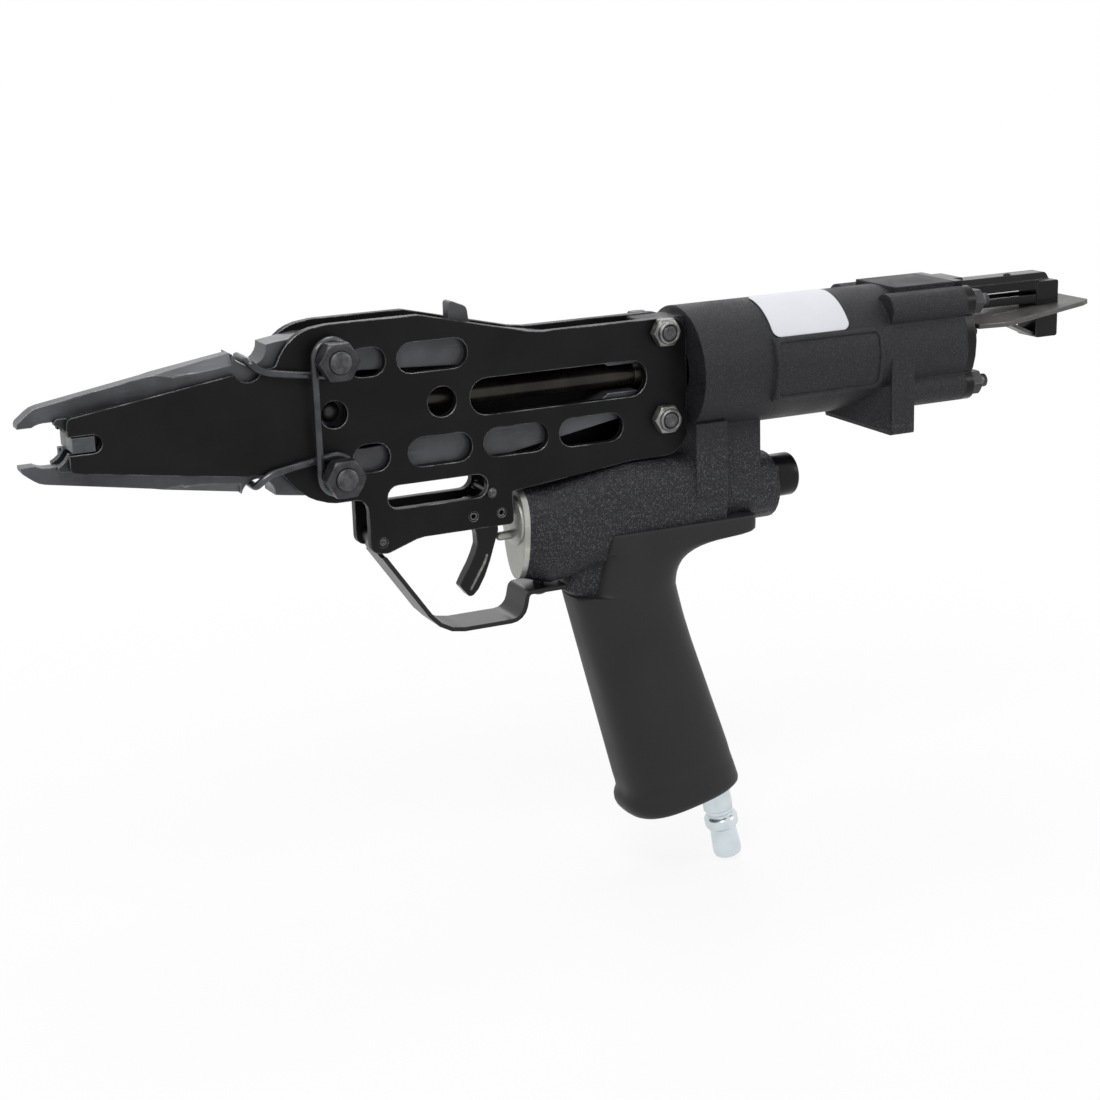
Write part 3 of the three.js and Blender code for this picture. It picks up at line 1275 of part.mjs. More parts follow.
function endCap() {
  const plate = headBlock(flangeFrontX, flangeRearX, cylinderRadius);
  const disc = rodX(flangeRearX - sink, 0, endDiscRadius, 0, 0, boreSides);
  const block = slabX(rectangle(-endBlockHalfWidth, endBlockHalfWidth, endBlockBottomZ,
    cylinderRadius + headTopRise, edge), flangeRearX - sink, 0);
  const lugOutline = [
    new THREE.Vector2(-gap, gatePinZ - gateKnuckleRadius),
    ...circle(gatePinX, gatePinZ, gateKnuckleRadius, smallSides * 2)
      .filter((p) => p.x > gatePinX).sort((a, b) => a.y - b.y),
    new THREE.Vector2(-gap, gatePinZ + gateKnuckleRadius),
  ];
  const start = gateKnuckleHalfLength + gap;
  const lugs = [[start, start + gateLugThickness], [-start - gateLugThickness, -start]]
    .map(([low, high]) => slabY(lugOutline, low, high,
      [circle(gatePinX, gatePinZ, gatePinRadius + gap, smallSides)]));
  return cut(join(plate, disc, block, ...lugs), ...screwHoles(flangeFrontX - overrun, flangeRearX + overrun));
}

function capScrew() {
  const seat = flangeRearX + gap;
  const head = slabX(hexagon(0, 0, capHeadAcrossFlats), seat, seat + capHeadThickness);
  const tip = rodX(seat + capHeadThickness - sink, seat + capHeadThickness + capStubLength,
    capStubRadius, 0, 0, smallSides);
  const shank = rodX(cylinderRearX - capScrewLength + gap, seat + sink, capScrewRadius,
    0, 0, smallSides);
  return join(head, tip, shank);
}

// Piston set
const pistonRearX = cylinderRearX - pistonSetback;
const pistonFrontX = pistonRearX - pistonThickness;

function piston() {
  const grooveX = (pistonRearX + pistonFrontX) / 2;
  const outer = cylinderBore - gap;
  const bore = spigotRadius + gap;
  return turnedX([
    [pistonFrontX, bore], [pistonFrontX, outer], [grooveX - sealWidth / 2, outer],
    [grooveX - sealWidth / 2, outer - sealDepth], [grooveX + sealWidth / 2, outer - sealDepth],
    [grooveX + sealWidth / 2, outer], [pistonRearX, outer], [pistonRearX, bore], [pistonFrontX, bore],
  ], 0, 0, boreSides);
}

function pistonSeal() {
  const grooveX = (pistonRearX + pistonFrontX) / 2;
  const outer = cylinderBore - gap;
  return ringX(grooveX - sealWidth / 2 + gap, grooveX + sealWidth / 2 - gap,
    outer - sealDepth + gap, outer, 0, 0, boreSides);
}

function pistonRod() {
  const frontX = coneRearX - spreaderSpigotLength + gap;
  const rearX = pistonRearX + pistonNutThickness + 3 * gap;
  return turnedX([
    [frontX, 0], [frontX, spigotRadius], [coneRearX + gap, spigotRadius],
    [coneRearX + gap, rodRadius], [pistonFrontX - gap, rodRadius],
    [pistonFrontX - gap, spigotRadius], [rearX, spigotRadius], [rearX, 0],
  ]);
}

function spreader() {
  const frontX = coneFrontX - barLength;
  const hole = spigotRadius + gap;
  const round = turnedX([
    [frontX, 0], [frontX, rodRadius - edge], [frontX + edge, rodRadius],
    [coneFrontX, rodRadius], [coneFrontX, rodRadius + coneFrontStep],
    [coneFrontX + coneLength, coneRadius], [coneRearX, coneRadius], [coneRearX, hole],
    [coneRearX - spreaderSpigotLength, hole], [coneRearX - spreaderSpigotLength, 0],
  ]);
  return round.intersect(slabY(rectangle(frontX - overrun, coneRearX + overrun,
    -cavityRadius, cavityRadius), -jawHalfThickness, jawHalfThickness));
}

function pistonNut() {
  return slabX(hexagon(0, 0, pistonNutAcrossFlats), pistonRearX + gap,
    pistonRearX + gap + pistonNutThickness, [circle(0, 0, spigotRadius + gap)]);
}

const rodBush = () => ringX(cylinderFrontX + cavityDepth, boreFrontX, rodRadius + gap, bushRadius);
const stopSleeve = () => ringX(boreFrontX, pistonFrontX - stroke - gap, stopSleeveBore,
  cylinderBore - gap, 0, 0, boreSides);
const returnSpring = () => ringX(boreFrontX + gap, pistonFrontX - gap,
  returnSpringRadius - returnSpringWall, returnSpringRadius);

function label() {
  return cylinderSector(-labelStart - labelLength, -labelStart, cylinderRadius + gap,
    cylinderRadius + gap + labelRise, 0, labelAngle);
}

// Assembly
add('side_plate_near', 'plateSteel', sidePlate(-plateOuterY, -plateHalfGap,
  [...plateSlotShares, triggerSlotShares]));
add('side_plate_far', 'plateSteel', sidePlate(plateHalfGap, plateOuterY,
  [triggerSlotShares]));
add('guide_cheek_near', 'cheekSteel', guideCheek(-plateHalfGap, -jawTipThickness / 2 - gap));
add('guide_cheek_far', 'cheekSteel', guideCheek(jawTipThickness / 2 + gap, plateHalfGap));
add('upper_jaw', 'jawSteel', upperJaw());
add('lower_jaw', 'jawSteel', jaw(-1));
add('ring_pusher', 'brightSteel', ringPusher());
add('pusher_rivet', 'nutSteel', pusherRivet());
[['upper', 1], ['lower', -1]].forEach(([which, side]) => {
  const pivot = [pivotX, 0, side * pivotZ];
  const rear = [rearBoltX, 0, side * rearBoltZ];
  add(`pivot_bolt_${which}`, 'boltSteel', pivotBolt(), pivot);
  add(`pivot_nut_${which}`, 'nutSteel', pivotNut(), pivot);
  add(`spring_bush_${which}`, 'nutSteel', springBush(), pivot);
  add(`rear_bolt_${which}`, 'boltSteel', rearBolt(), rear);
  add(`lock_nut_${which}`, 'lockNutZinc', lockNut(), rear);
});
const wirePoints = springLine();
add('jaw_spring', 'springSteel', wire(wirePoints, springWireRadius, springSides));
const springGap = nearestPass(dense(wirePoints, springProbeStep), springProbeSkip);
console.log(`jaw spring, least gap to itself: ${springGap.toFixed(2)} mm`);
add('casting', 'casting', casting());
add('rod_bush', 'aluminium', rodBush());
add('stop_sleeve', 'aluminium', stopSleeve());
add('piston', 'aluminium', piston());
add('piston_seal', 'sealBlack', pistonSeal());
add('piston_rod', 'barSteel', pistonRod());
add('piston_nut', 'boltSteel', pistonNut());
add('spreader', 'barSteel', spreader());
add('return_spring', 'springSteel', returnSpring());
add('end_gasket', 'sealBlack', cut(
  headBlock(cylinderRearX, flangeFrontX, cylinderRadius),
  rodX(cylinderRearX - overrun, overrun, cylinderBore, 0, 0, boreSides),
  ...screwHoles(cylinderRearX - overrun, overrun)));
add('end_cap', 'glossBlack', endCap());
bossPlaces.forEach(([which, near, up]) =>
  add(`cap_screw_${which}`, 'nutSteel', capScrew(), [0, near * bossY, up * bossZ]));
add('magazine_rail', 'glossBlack', magazineRail());
add('ring_follower', 'springSteel', ringFollower());
add('gate_plate', 'gateSteel', gatePlate());
add('gate_block', 'glossBlack', gateBlock());
add('gate_brace', 'gateSteel', gateBrace());
add('gate_pin', 'boltSteel', rodY(-gateKnuckleHalfLength - gateLugThickness - 2 * gap,
  gateKnuckleHalfLength + gateLugThickness + 2 * gap, gatePinRadius, gatePinX, gatePinZ, smallSides));
add('trigger', 'glossBlack', trigger());
add('trigger_pin', 'boltSteel', crossPin(pinRadius), [triggerPinX, 0, triggerPinZ]);
add('plate_pin', 'boltSteel', crossPin(pinRadius), [platePinX, 0, triggerPinZ]);
add('plate_screw', 'nutSteel', plateScrew(), [plateScrewX, 0, plateScrewZ]);
add('guard_strap', 'glossBlack', guardStrap());
add('guard_front_screw', 'nutSteel', crossPin(pinRadius), [guardScrewX, 0, guardScrewZ]);
add('guard_rear_screw', 'nutSteel', guardRearScrew());
add('valve_cap', 'capSilver', valveCap());
add('valve_stem', 'brightSteel', valveStem());
add('valve_spring', 'springSteel', valveSpring());
add('exhaust_knob', 'glossBlack', exhaustKnob());
add('grip_sleeve', 'rubber', gripSleeve());
add('air_plug', 'plugNickel', airPlug());
add('label', 'labelWhite', label());

export default tool;
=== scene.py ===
"""A pneumatic hog ring tool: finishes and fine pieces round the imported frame.

The axes are the frame's own: +X to the rear, +Z up, the jaws towards -X and the side that
the photograph shows towards -Y. Finishes, properties and the stage are in metres; shapes are
worked out in millimetres and become metres in their mesh.
"""
import math
from contextlib import contextmanager

import bmesh
import bpy
import numpy as np
from bpy.props import FloatProperty, FloatVectorProperty, IntProperty, PointerProperty
from bpy.types import NodeSocket, Operator, Panel, PropertyGroup, Scene
from mathutils import Matrix, Vector


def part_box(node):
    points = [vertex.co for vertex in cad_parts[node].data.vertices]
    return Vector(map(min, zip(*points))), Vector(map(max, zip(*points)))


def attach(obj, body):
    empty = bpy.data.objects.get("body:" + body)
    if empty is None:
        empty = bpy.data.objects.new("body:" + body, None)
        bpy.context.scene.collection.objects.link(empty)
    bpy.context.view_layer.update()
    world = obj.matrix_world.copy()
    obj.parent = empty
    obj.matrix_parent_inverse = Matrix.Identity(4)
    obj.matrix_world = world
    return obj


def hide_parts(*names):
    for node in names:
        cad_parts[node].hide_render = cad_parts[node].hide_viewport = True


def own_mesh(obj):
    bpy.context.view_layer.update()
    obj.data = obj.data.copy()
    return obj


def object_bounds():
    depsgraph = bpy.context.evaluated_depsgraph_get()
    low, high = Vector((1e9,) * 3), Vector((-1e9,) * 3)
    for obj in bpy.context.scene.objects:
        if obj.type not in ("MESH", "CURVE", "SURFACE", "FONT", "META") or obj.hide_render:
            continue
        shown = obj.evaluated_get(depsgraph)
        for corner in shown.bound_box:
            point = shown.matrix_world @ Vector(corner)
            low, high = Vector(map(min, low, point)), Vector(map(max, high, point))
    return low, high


bl_info = {
    "name": "Pneumatic hog ring tool",
    "version": (1, 0, 0),
    "blender": (4, 5, 0),
    "location": "3D View > Sidebar > Hog ring tool",
    "description": "Dresses the packed hog ring tool with its finishes and fine pieces",
    "category": "Object",
}

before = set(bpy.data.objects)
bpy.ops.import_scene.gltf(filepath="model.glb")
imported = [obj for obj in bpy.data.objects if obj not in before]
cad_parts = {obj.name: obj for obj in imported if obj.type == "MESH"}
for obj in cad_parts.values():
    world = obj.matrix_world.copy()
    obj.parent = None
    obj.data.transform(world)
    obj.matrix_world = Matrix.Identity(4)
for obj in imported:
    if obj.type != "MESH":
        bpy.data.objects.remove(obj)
cad_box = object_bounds()

MM = 0.001
WELD = 1e-6
SHARP = 35.0
SIDES = ("near", "far")
LEVELS = ("upper", "lower")
# How far the handle and its plug lean back from upright, in radians
HANDLE_LEAN = 0.202


def colour_prop(label, text, rgb):
    return FloatVectorProperty(name=label, description=text, subtype="COLOR", size=3, min=0.0,
                               max=1.0, default=rgb)


def length_prop(label, text, value):
    return FloatProperty(name=label, description=text, default=value, min=0.0,
                         subtype="DISTANCE", unit="LENGTH", precision=5)


def count_prop(label, text, value):
    return IntProperty(name=label, description=text, default=value, min=3, max=30)


class ToolColours(PropertyGroup):
    """The base colour of each finish."""

    plate_steel: colour_prop("Side plates", "Blackened satin steel", (0.0048, 0.0048, 0.0052))
    # Dark steel whose greenish tone is painted shade with a painted cool reflection on the cheeks
    cheek_steel: colour_prop("Guide cheeks", "Greenish grey steel", (0.022, 0.029, 0.03))
    jaw_steel: colour_prop("Jaws", "Bluish gunmetal", (0.062, 0.064, 0.07))
    bright_steel: colour_prop("Ring pusher", "Dull ground steel", (0.05, 0.056, 0.06))
    nut_steel: colour_prop("Nuts", "Dark oxide steel", (0.035, 0.035, 0.038))
    bolt_steel: colour_prop("Bolt ends", "Cut steel", (0.065, 0.066, 0.07))
    # Real zinc on the lock nuts, and a painted highlight on the trigger's beads
    lock_nut_zinc: colour_prop("Lock nuts", "Dull zinc", (0.2, 0.2, 0.19))
    spring_steel: colour_prop("Springs", "Oiled spring wire", (0.06, 0.062, 0.066))
    casting_black: colour_prop("Casting", "Speckled powder coat", (0.0075, 0.008, 0.0098))
    aluminium: colour_prop("Aluminium", "Turned aluminium", (0.45, 0.46, 0.47))
    seal_black: colour_prop("Seals", "Black rubber", (0.012, 0.012, 0.012))
    bar_steel: colour_prop("Spreader bar", "Brownish hardened steel", (0.02, 0.017, 0.013))
    gloss_black: colour_prop("Gloss parts", "Smooth black finish", (0.004, 0.004, 0.0046))
    gate_steel: colour_prop("Loading gate", "Warm grey plate", (0.075, 0.073, 0.069))
    cap_silver: colour_prop("Valve cap", "Satin pale metal", (0.37, 0.37, 0.345))
    grip_rubber: colour_prop("Grip", "Matte black rubber", (0.011, 0.011, 0.0122))
    plug_nickel: colour_prop("Air plug", "Pale nickel", (0.66, 0.73, 0.76))
    label_white: colour_prop("Label", "Bare white film", (0.64, 0.65, 0.69))
    speckle: colour_prop("Speckle", "Lighter grains in the coat", (0.17, 0.177, 0.196))
    wear: colour_prop("Worn edges", "Bare steel under the finish", (0.34, 0.35, 0.36))


class ToolSizes(PropertyGroup):
    """Sizes of the fine pieces."""

    wire_radius: length_prop("Jaw spring wire", "Radius of the jaw spring's wire", 0.0014)
    wire_bend: length_prop("Spring bends", "Length over which the wire bends", 0.003)
    edge_radius: length_prop("Edge rounding", "Radius of the light on the edges", 0.0006)
    casting_edge: length_prop("Cast edges", "Radius of the light on cast edges", 0.0011)
    nut_chamfer: length_prop("Nut chamfer", "Depth of the chamfer on a nut", 0.0011)
    pad_rim_width: length_prop("Pad rim width", "Width of the rim on the side pad", 0.0022)
    pad_rim_height: length_prop("Pad rim height", "Height of the side pad's rim", 0.0005)
    label_corner: length_prop("Label corners", "Radius of the label's corners", 0.0034)
    label_film: length_prop("Label film", "Thickness of the label", 0.00022)
    return_wire: length_prop("Return spring wire", "Radius of the coil's wire", 0.0010)
    valve_wire: length_prop("Valve spring wire", "Radius of the coil's wire", 0.00055)
    return_turns: count_prop("Return spring turns", "Turns of the piston's coil", 9)
    valve_turns: count_prop("Valve spring turns", "Turns of the valve's coil", 11)


def panel_size(name):
    """A length of the panel in metres."""
    return getattr(bpy.context.scene.tool_sizes, name)


def size_of(name):
    """A length of the panel in millimetres."""
    return panel_size(name) / MM


def colour_of(name):
    return tuple(getattr(bpy.context.scene.tool_colours, name)) + (1.0,)


# ---------------------------------------------------------------- materials

# What the numbers in a finish's row are
COLUMNS = ("roughness", "metallic", "specular", "spread", "patch", "patch_share", "grain", "bump",
           "wear", "scratches")


class Finish:
    """What one finish looks like: a row of those columns, then what only a few have.
    Spread is how far the roughness varies, patch the size of the mottling and grain that of
    the fine bump, in metres. Edge names the size that light rounds the edges by."""

    speckle = 0.0
    speckle_size = 0.0
    coat = 0.0
    edge = "edge_radius"
    colour = None

    def __init__(self, *row, **extras):
        for key, value in (*zip(COLUMNS, row), *extras.items()):
            setattr(self, key, value)


FINISHES = {
    "plate_steel": Finish(0.4, 0.0, 0.14, 0.1, 0.03, 0.35, 0.0005, 0.05, 0.95, 0.12),
    # Cheeks: dark steel, with painted shade and a painted cool reflection in the tone
    "cheek_steel": Finish(0.42, 0.35, 0.45, 0.12, 0.01, 0.4, 0.0004, 0.08, 0.8, 0.3),
    "jaw_steel": Finish(0.36, 0.35, 0.4, 0.1, 0.018, 0.3, 0.0005, 0.07, 0.95, 0.3),
    "bright_steel": Finish(0.36, 0.4, 0.4, 0.1, 0.006, 0.3, 0.0003, 0.05, 0.5, 0.4),
    "nut_steel": Finish(0.36, 0.6, 0.5, 0.12, 0.004, 0.4, 0.0003, 0.08, 0.6, 0.0),
    "bolt_steel": Finish(0.38, 0.8, 0.5, 0.12, 0.003, 0.4, 0.0003, 0.1, 0.5, 0.0),
    # Zinc on the lock nuts; on the trigger's beads it paints the highlight along the grooves
    "lock_nut_zinc": Finish(0.36, 0.8, 0.5, 0.12, 0.003, 0.4, 0.0003, 0.08, 0.7, 0.0),
    "spring_steel": Finish(0.22, 0.75, 0.5, 0.05, 0.008, 0.3, 0.0004, 0.04, 0.1, 0.2),
    "casting_black": Finish(0.5, 0.0, 0.3, 0.12, 0.02, 0.3, 0.0006, 0.8, 0.08, 0.0,
                            speckle=0.85, speckle_size=0.0005, edge="casting_edge"),
    "aluminium": Finish(0.35, 0.9, 0.5, 0.1, 0.01, 0.15, 0.0003, 0.05, 0.2, 0.3),
    "seal_black": Finish(0.7, 0.0, 0.3, 0.1, 0.01, 0.2, 0.0004, 0.1, 0.0, 0.0),
    "bar_steel": Finish(0.28, 0.6, 0.5, 0.08, 0.012, 0.35, 0.0004, 0.04, 0.3, 0.3),
    "gloss_black": Finish(0.24, 0.0, 0.18, 0.08, 0.015, 0.3, 0.0006, 0.04, 0.35, 0.0, coat=0.06),
    "strap_black": Finish(0.36, 0.0, 0.3, 0.03, 0.04, 0.1, 0.0006, 0.02, 0.03, 0.0, coat=0.05,
                          colour="gloss_black"),
    "gate_steel": Finish(0.4, 0.5, 0.5, 0.12, 0.012, 0.3, 0.0004, 0.06, 0.5, 0.4),
    "cap_silver": Finish(0.38, 0.6, 0.5, 0.1, 0.008, 0.15, 0.0003, 0.06, 0.3, 0.2),
    "grip_rubber": Finish(0.5, 0.0, 0.3, 0.08, 0.03, 0.2, 0.0007, 0.1, 0.0, 0.0),
    "plug_nickel": Finish(0.2, 0.75, 0.5, 0.05, 0.006, 0.05, 0.0003, 0.02, 0.1, 0.0),
    "label_white": Finish(0.5, 0.0, 0.3, 0.03, 0.012, 0.015, 0.0005, 0.02, 0.0, 0.0),
}

# The band of a noise's value, a distance or a cosine over which one thing gives way to another
PATCH_BAND = (0.35, 0.65)
ROUGHNESS_BAND = (0.3, 0.7)
DOT_BAND = (0.5, 0.15)
CHANCE_BAND = (0.38, 0.6)
SCRATCH_BAND = (0.6, 0.72)
EDGE_BAND = (0.985, 0.86)
RUBBED_BAND = (0.4, 0.6, 0.12, 1.0)
# The coat's grains are faint on the barrel and plain from the housing down: height and share
FAINT_BAND = (-0.024, -0.034, 0.3, 1.0)
# A cluster of grains against one grain, and a grain's height against the fine bump's
CLUSTER = 2.2
DOT_HEIGHT = 0.8
# Scratches run along X and lean a little
SCRATCH_STRETCH = (0.08, 1.0, 1.0)
SCRATCH_TURN = (0.0, 0.12, 0.0)
SCRATCH_SIZE = 0.0011
SCRATCH_LIGHTER = 2.2
SCRATCH_ROUGHER = 0.2
WORN_ROUGHNESS = 0.34
WORN_METALLIC = 0.8
WORN_PATCH = 0.009
COAT_ROUGHNESS = 0.12
BUMP_DEPTH = 0.5
BEVEL_SAMPLES = 4


class Tree:
    """Short calls for making and joining the nodes of a material or world."""

    STEP = 180

    def __init__(self, owner):
        owner.use_nodes = True
        self.tree = owner.node_tree
        self.tree.nodes.clear()
        self.column = 0

    def node(self, kind, values=None, **settings):
        """A node whose inputs are linked to the sockets among the values, and set to the rest."""
        made = self.tree.nodes.new("ShaderNode" + kind)
        made.location = (self.column * self.STEP, 0)
        self.column += 1
        for key, value in settings.items():
            setattr(made, key, value)
        for key, value in (values or {}).items():
            if isinstance(value, NodeSocket):
                self.tree.links.new(value, made.inputs[key])
            else:
                made.inputs[key].default_value = value
        return made

    def add(self, kind, values=None, output=0, **settings):
        """A node's output socket."""
        return self.node(kind, values, **settings).outputs[output]

    def noise(self, place, size, detail=3.0, roughness=0.55):
        return self.add("TexNoise", {"Vector": place, "Scale": 1.0 / size, "Detail": detail,
                                     "Roughness": roughness}, "Fac")

    def spread(self, value, low, high, to_low=0.0, to_high=1.0):
        return self.add("MapRange", {"Value": value, "From Min": low, "From Max": high,
                                     "To Min": to_low, "To Max": to_high}, "Result")

    def maths(self, operation, first, second):
        return self.add("Math", {0: first, 1: second}, operation=operation)

    def times(self, first, second):
        return self.maths("MULTIPLY", first, second)

    def plus(self, first, second):
        return self.maths("ADD", first, second)

    def blend(self, share, first, second):
        """Two colours mixed; a colour mix has them at its inputs 6 and 7, and its output 2."""
        return self.add("Mix", {"Factor": share, 6: first, 7: second}, 2, data_type="RGBA")


def shade(rgba, factor):
    return tuple(min(1.0, c * factor) for c in rgba[:3]) + (1.0,)


def material_for(name):
    """The finish's material. Colour: the base, mottled over patches and broken by speckles, with
    bare metal along the edges. An edge is where the normal smoothed over the edge radius
    turns away from the true normal. Roughness and bump follow the same grain."""
    full_name = "finish_" + name
    if full_name in bpy.data.materials:
        return bpy.data.materials[full_name]
    spec = FINISHES[name]
    base = colour_of(spec.colour or name)
    material = bpy.data.materials.new(full_name)
    tree = Tree(material)
    place = tree.add("TexCoord", output="Object")
    patch = tree.noise(place, spec.patch, detail=4.0)
    height = grain = tree.noise(place, spec.grain, detail=2.0, roughness=0.6)
    colour = tree.blend(tree.spread(patch, *PATCH_BAND), shade(base, 1.0 - spec.patch_share),
                        shade(base, 1.0 + spec.patch_share))
    if spec.speckle:
        cells = tree.add("TexVoronoi", {"Vector": place, "Scale": 1.0 / spec.speckle_size,
                                        "Randomness": 1.0}, "Distance", feature="F1")
        dots = tree.spread(cells, *DOT_BAND)
        clusters = tree.noise(place, spec.speckle_size * CLUSTER, detail=1.0)
        chance = tree.spread(clusters, *CHANCE_BAND)
        high_up = tree.add("SeparateXYZ", {"Vector": place}, "Z")
        chance = tree.times(chance, tree.spread(high_up, *FAINT_BAND))
        share = tree.times(tree.times(dots, chance), spec.speckle)
        colour = tree.blend(share, colour, colour_of("speckle"))
        height = tree.plus(grain, tree.times(dots, DOT_HEIGHT))
    roughness = tree.spread(patch, *ROUGHNESS_BAND, spec.roughness - spec.spread,
                            spec.roughness + spec.spread)
    if spec.scratches:
        stretched = tree.add("Mapping", {"Vector": place, "Scale": SCRATCH_STRETCH,
                                         "Rotation": SCRATCH_TURN})
        lines = tree.spread(tree.noise(stretched, SCRATCH_SIZE, detail=2.0), *SCRATCH_BAND)
        scratched = tree.times(lines, spec.scratches)
        colour = tree.blend(scratched, colour, shade(base, SCRATCH_LIGHTER))
        roughness = tree.plus(roughness, tree.times(scratched, SCRATCH_ROUGHER))
    rounded = tree.add("Bevel", {"Radius": panel_size(spec.edge)}, samples=BEVEL_SAMPLES)
    metallic = spec.metallic
    if spec.wear:
        true_normal = tree.add("NewGeometry", output="Normal")
        cosine = tree.add("VectorMath", {0: rounded, 1: true_normal}, "Value",
                          operation="DOT_PRODUCT")
        rubbed = tree.spread(tree.noise(place, WORN_PATCH, detail=4.0), *RUBBED_BAND)
        worn = tree.times(tree.times(tree.spread(cosine, *EDGE_BAND), rubbed), spec.wear)
        colour = tree.blend(worn, colour, colour_of("wear"))
        roughness = tree.plus(roughness, tree.times(worn, WORN_ROUGHNESS - spec.roughness))
        metallic = tree.plus(tree.times(worn, WORN_METALLIC - spec.metallic), spec.metallic)
    bumped = tree.add("Bump", {"Height": height, "Normal": rounded, "Strength": spec.bump,
                               "Distance": spec.grain * BUMP_DEPTH})
    surface = tree.add("BsdfPrincipled", {
        "Base Color": colour, "Roughness": roughness, "Metallic": metallic, "Normal": bumped,
        "Specular IOR Level": spec.specular, "Coat Weight": spec.coat,
        "Coat Roughness": COAT_ROUGHNESS})
    tree.node("OutputMaterial", {"Surface": surface})
    return material


def give(node, finish):
    """Gives a CAD node's own solid a finish."""
    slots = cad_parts[node].data.materials
    slots.clear()
    slots.append(material_for(finish))


# ---------------------------------------------------------------- mesh helpers

@contextmanager
def reworked(mesh):
    """Opens the mesh for bmesh with its doubled points joined, and puts the result back."""
    shaped = bmesh.new()
    shaped.from_mesh(mesh)
    bmesh.ops.remove_doubles(shaped, verts=shaped.verts, dist=WELD)
    yield shaped
    shaped.to_mesh(mesh)
    shaped.free()


def closed_mesh(name, points, faces):
    """A mesh of points in metres, its seams and poles closed and its faces turned outwards."""
    mesh = bpy.data.meshes.new(name)
    mesh.from_pydata(points.tolist(), [], faces)
    with reworked(mesh) as shaped:
        bmesh.ops.dissolve_degenerate(shaped, edges=shaped.edges, dist=WELD)
        bmesh.ops.recalc_face_normals(shaped, faces=shaped.faces)
    return mesh


def place_piece(mesh, name, finish, body, replaces, sharp):
    """Makes the mesh a piece that rides on its body, with creases where it is sharper than the
    angle. The nodes behind it get the same finish."""
    mesh.shade_smooth()
    mesh.set_sharp_from_angle(angle=math.radians(sharp))
    mesh.materials.clear()
    mesh.materials.append(material_for(finish))
    piece = bpy.data.objects.new(name, mesh)
    bpy.context.scene.collection.objects.link(piece)
    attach(piece, body)
    if replaces:
        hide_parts(*replaces)
    for node in replaces:
        give(node, finish)
    return piece


def refined(node, name, finish, body="frame", sharp=SHARP, flat=0.4):
    """The node's own solid with its loose triangles merged, flat areas joined and curves shaded
    smooth, so that barrels and bends read as round."""
    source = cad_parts[node].data
    points = np.empty(len(source.vertices) * 3)
    source.vertices.foreach_get("co", points)
    source.calc_loop_triangles()
    triangles = np.empty(len(source.loop_triangles) * 3, dtype=np.int32)
    source.loop_triangles.foreach_get("vertices", triangles)
    mesh = bpy.data.meshes.new(name)
    mesh.from_pydata(points.reshape(-1, 3).tolist(), [], triangles.reshape(-1, 3).tolist())
    with reworked(mesh) as shaped:
        bmesh.ops.dissolve_limit(shaped, angle_limit=math.radians(flat), verts=shaped.verts,
                                 edges=shaped.edges, delimit=set())
    piece = place_piece(mesh, name, finish, body, [node], sharp)
    weighted = piece.modifiers.new("flat_faces", "WEIGHTED_NORMAL")
    weighted.keep_sharp = True
    return piece


def grid_faces(rows, columns, close_rows=False, start=0):
    """Quads between neighbouring rows and columns of a grid numbered by rows; each row closes."""
    row = np.arange(rows if close_rows else rows - 1)[:, None]
    column = np.arange(columns)[None, :]
    next_row = (row + 1) % rows
    next_column = (column + 1) % columns
    corners = [row * columns + column, row * columns + next_column,
               next_row * columns + next_column, next_row * columns + column]
    return np.stack([np.broadcast_to(c, (row.size, column.size)) for c in corners],
                    axis=-1).reshape(-1, 4) + start


def box_of(node):
    """A node's lowest corner, highest corner and middle, in millimetres."""
    low, high = (np.array(corner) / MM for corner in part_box(node))
    return low, high, (low + high) / 2


def full_turn(sides):
    return np.arange(sides) * 2 * np.pi / sides


def dome(tip, rise, radius, steps, core=0.0):
    """A quarter ellipse from its rim to its tip, as [along, radius]: along is the tip less the
    rise times one less the sine, and the radius is the core and the cosine's share. A rise
    below zero faces the other way."""
    bow = np.linspace(0, np.pi / 2, steps)
    return np.stack([tip - rise * (1 - np.sin(bow)), core + radius * np.cos(bow)], axis=1)


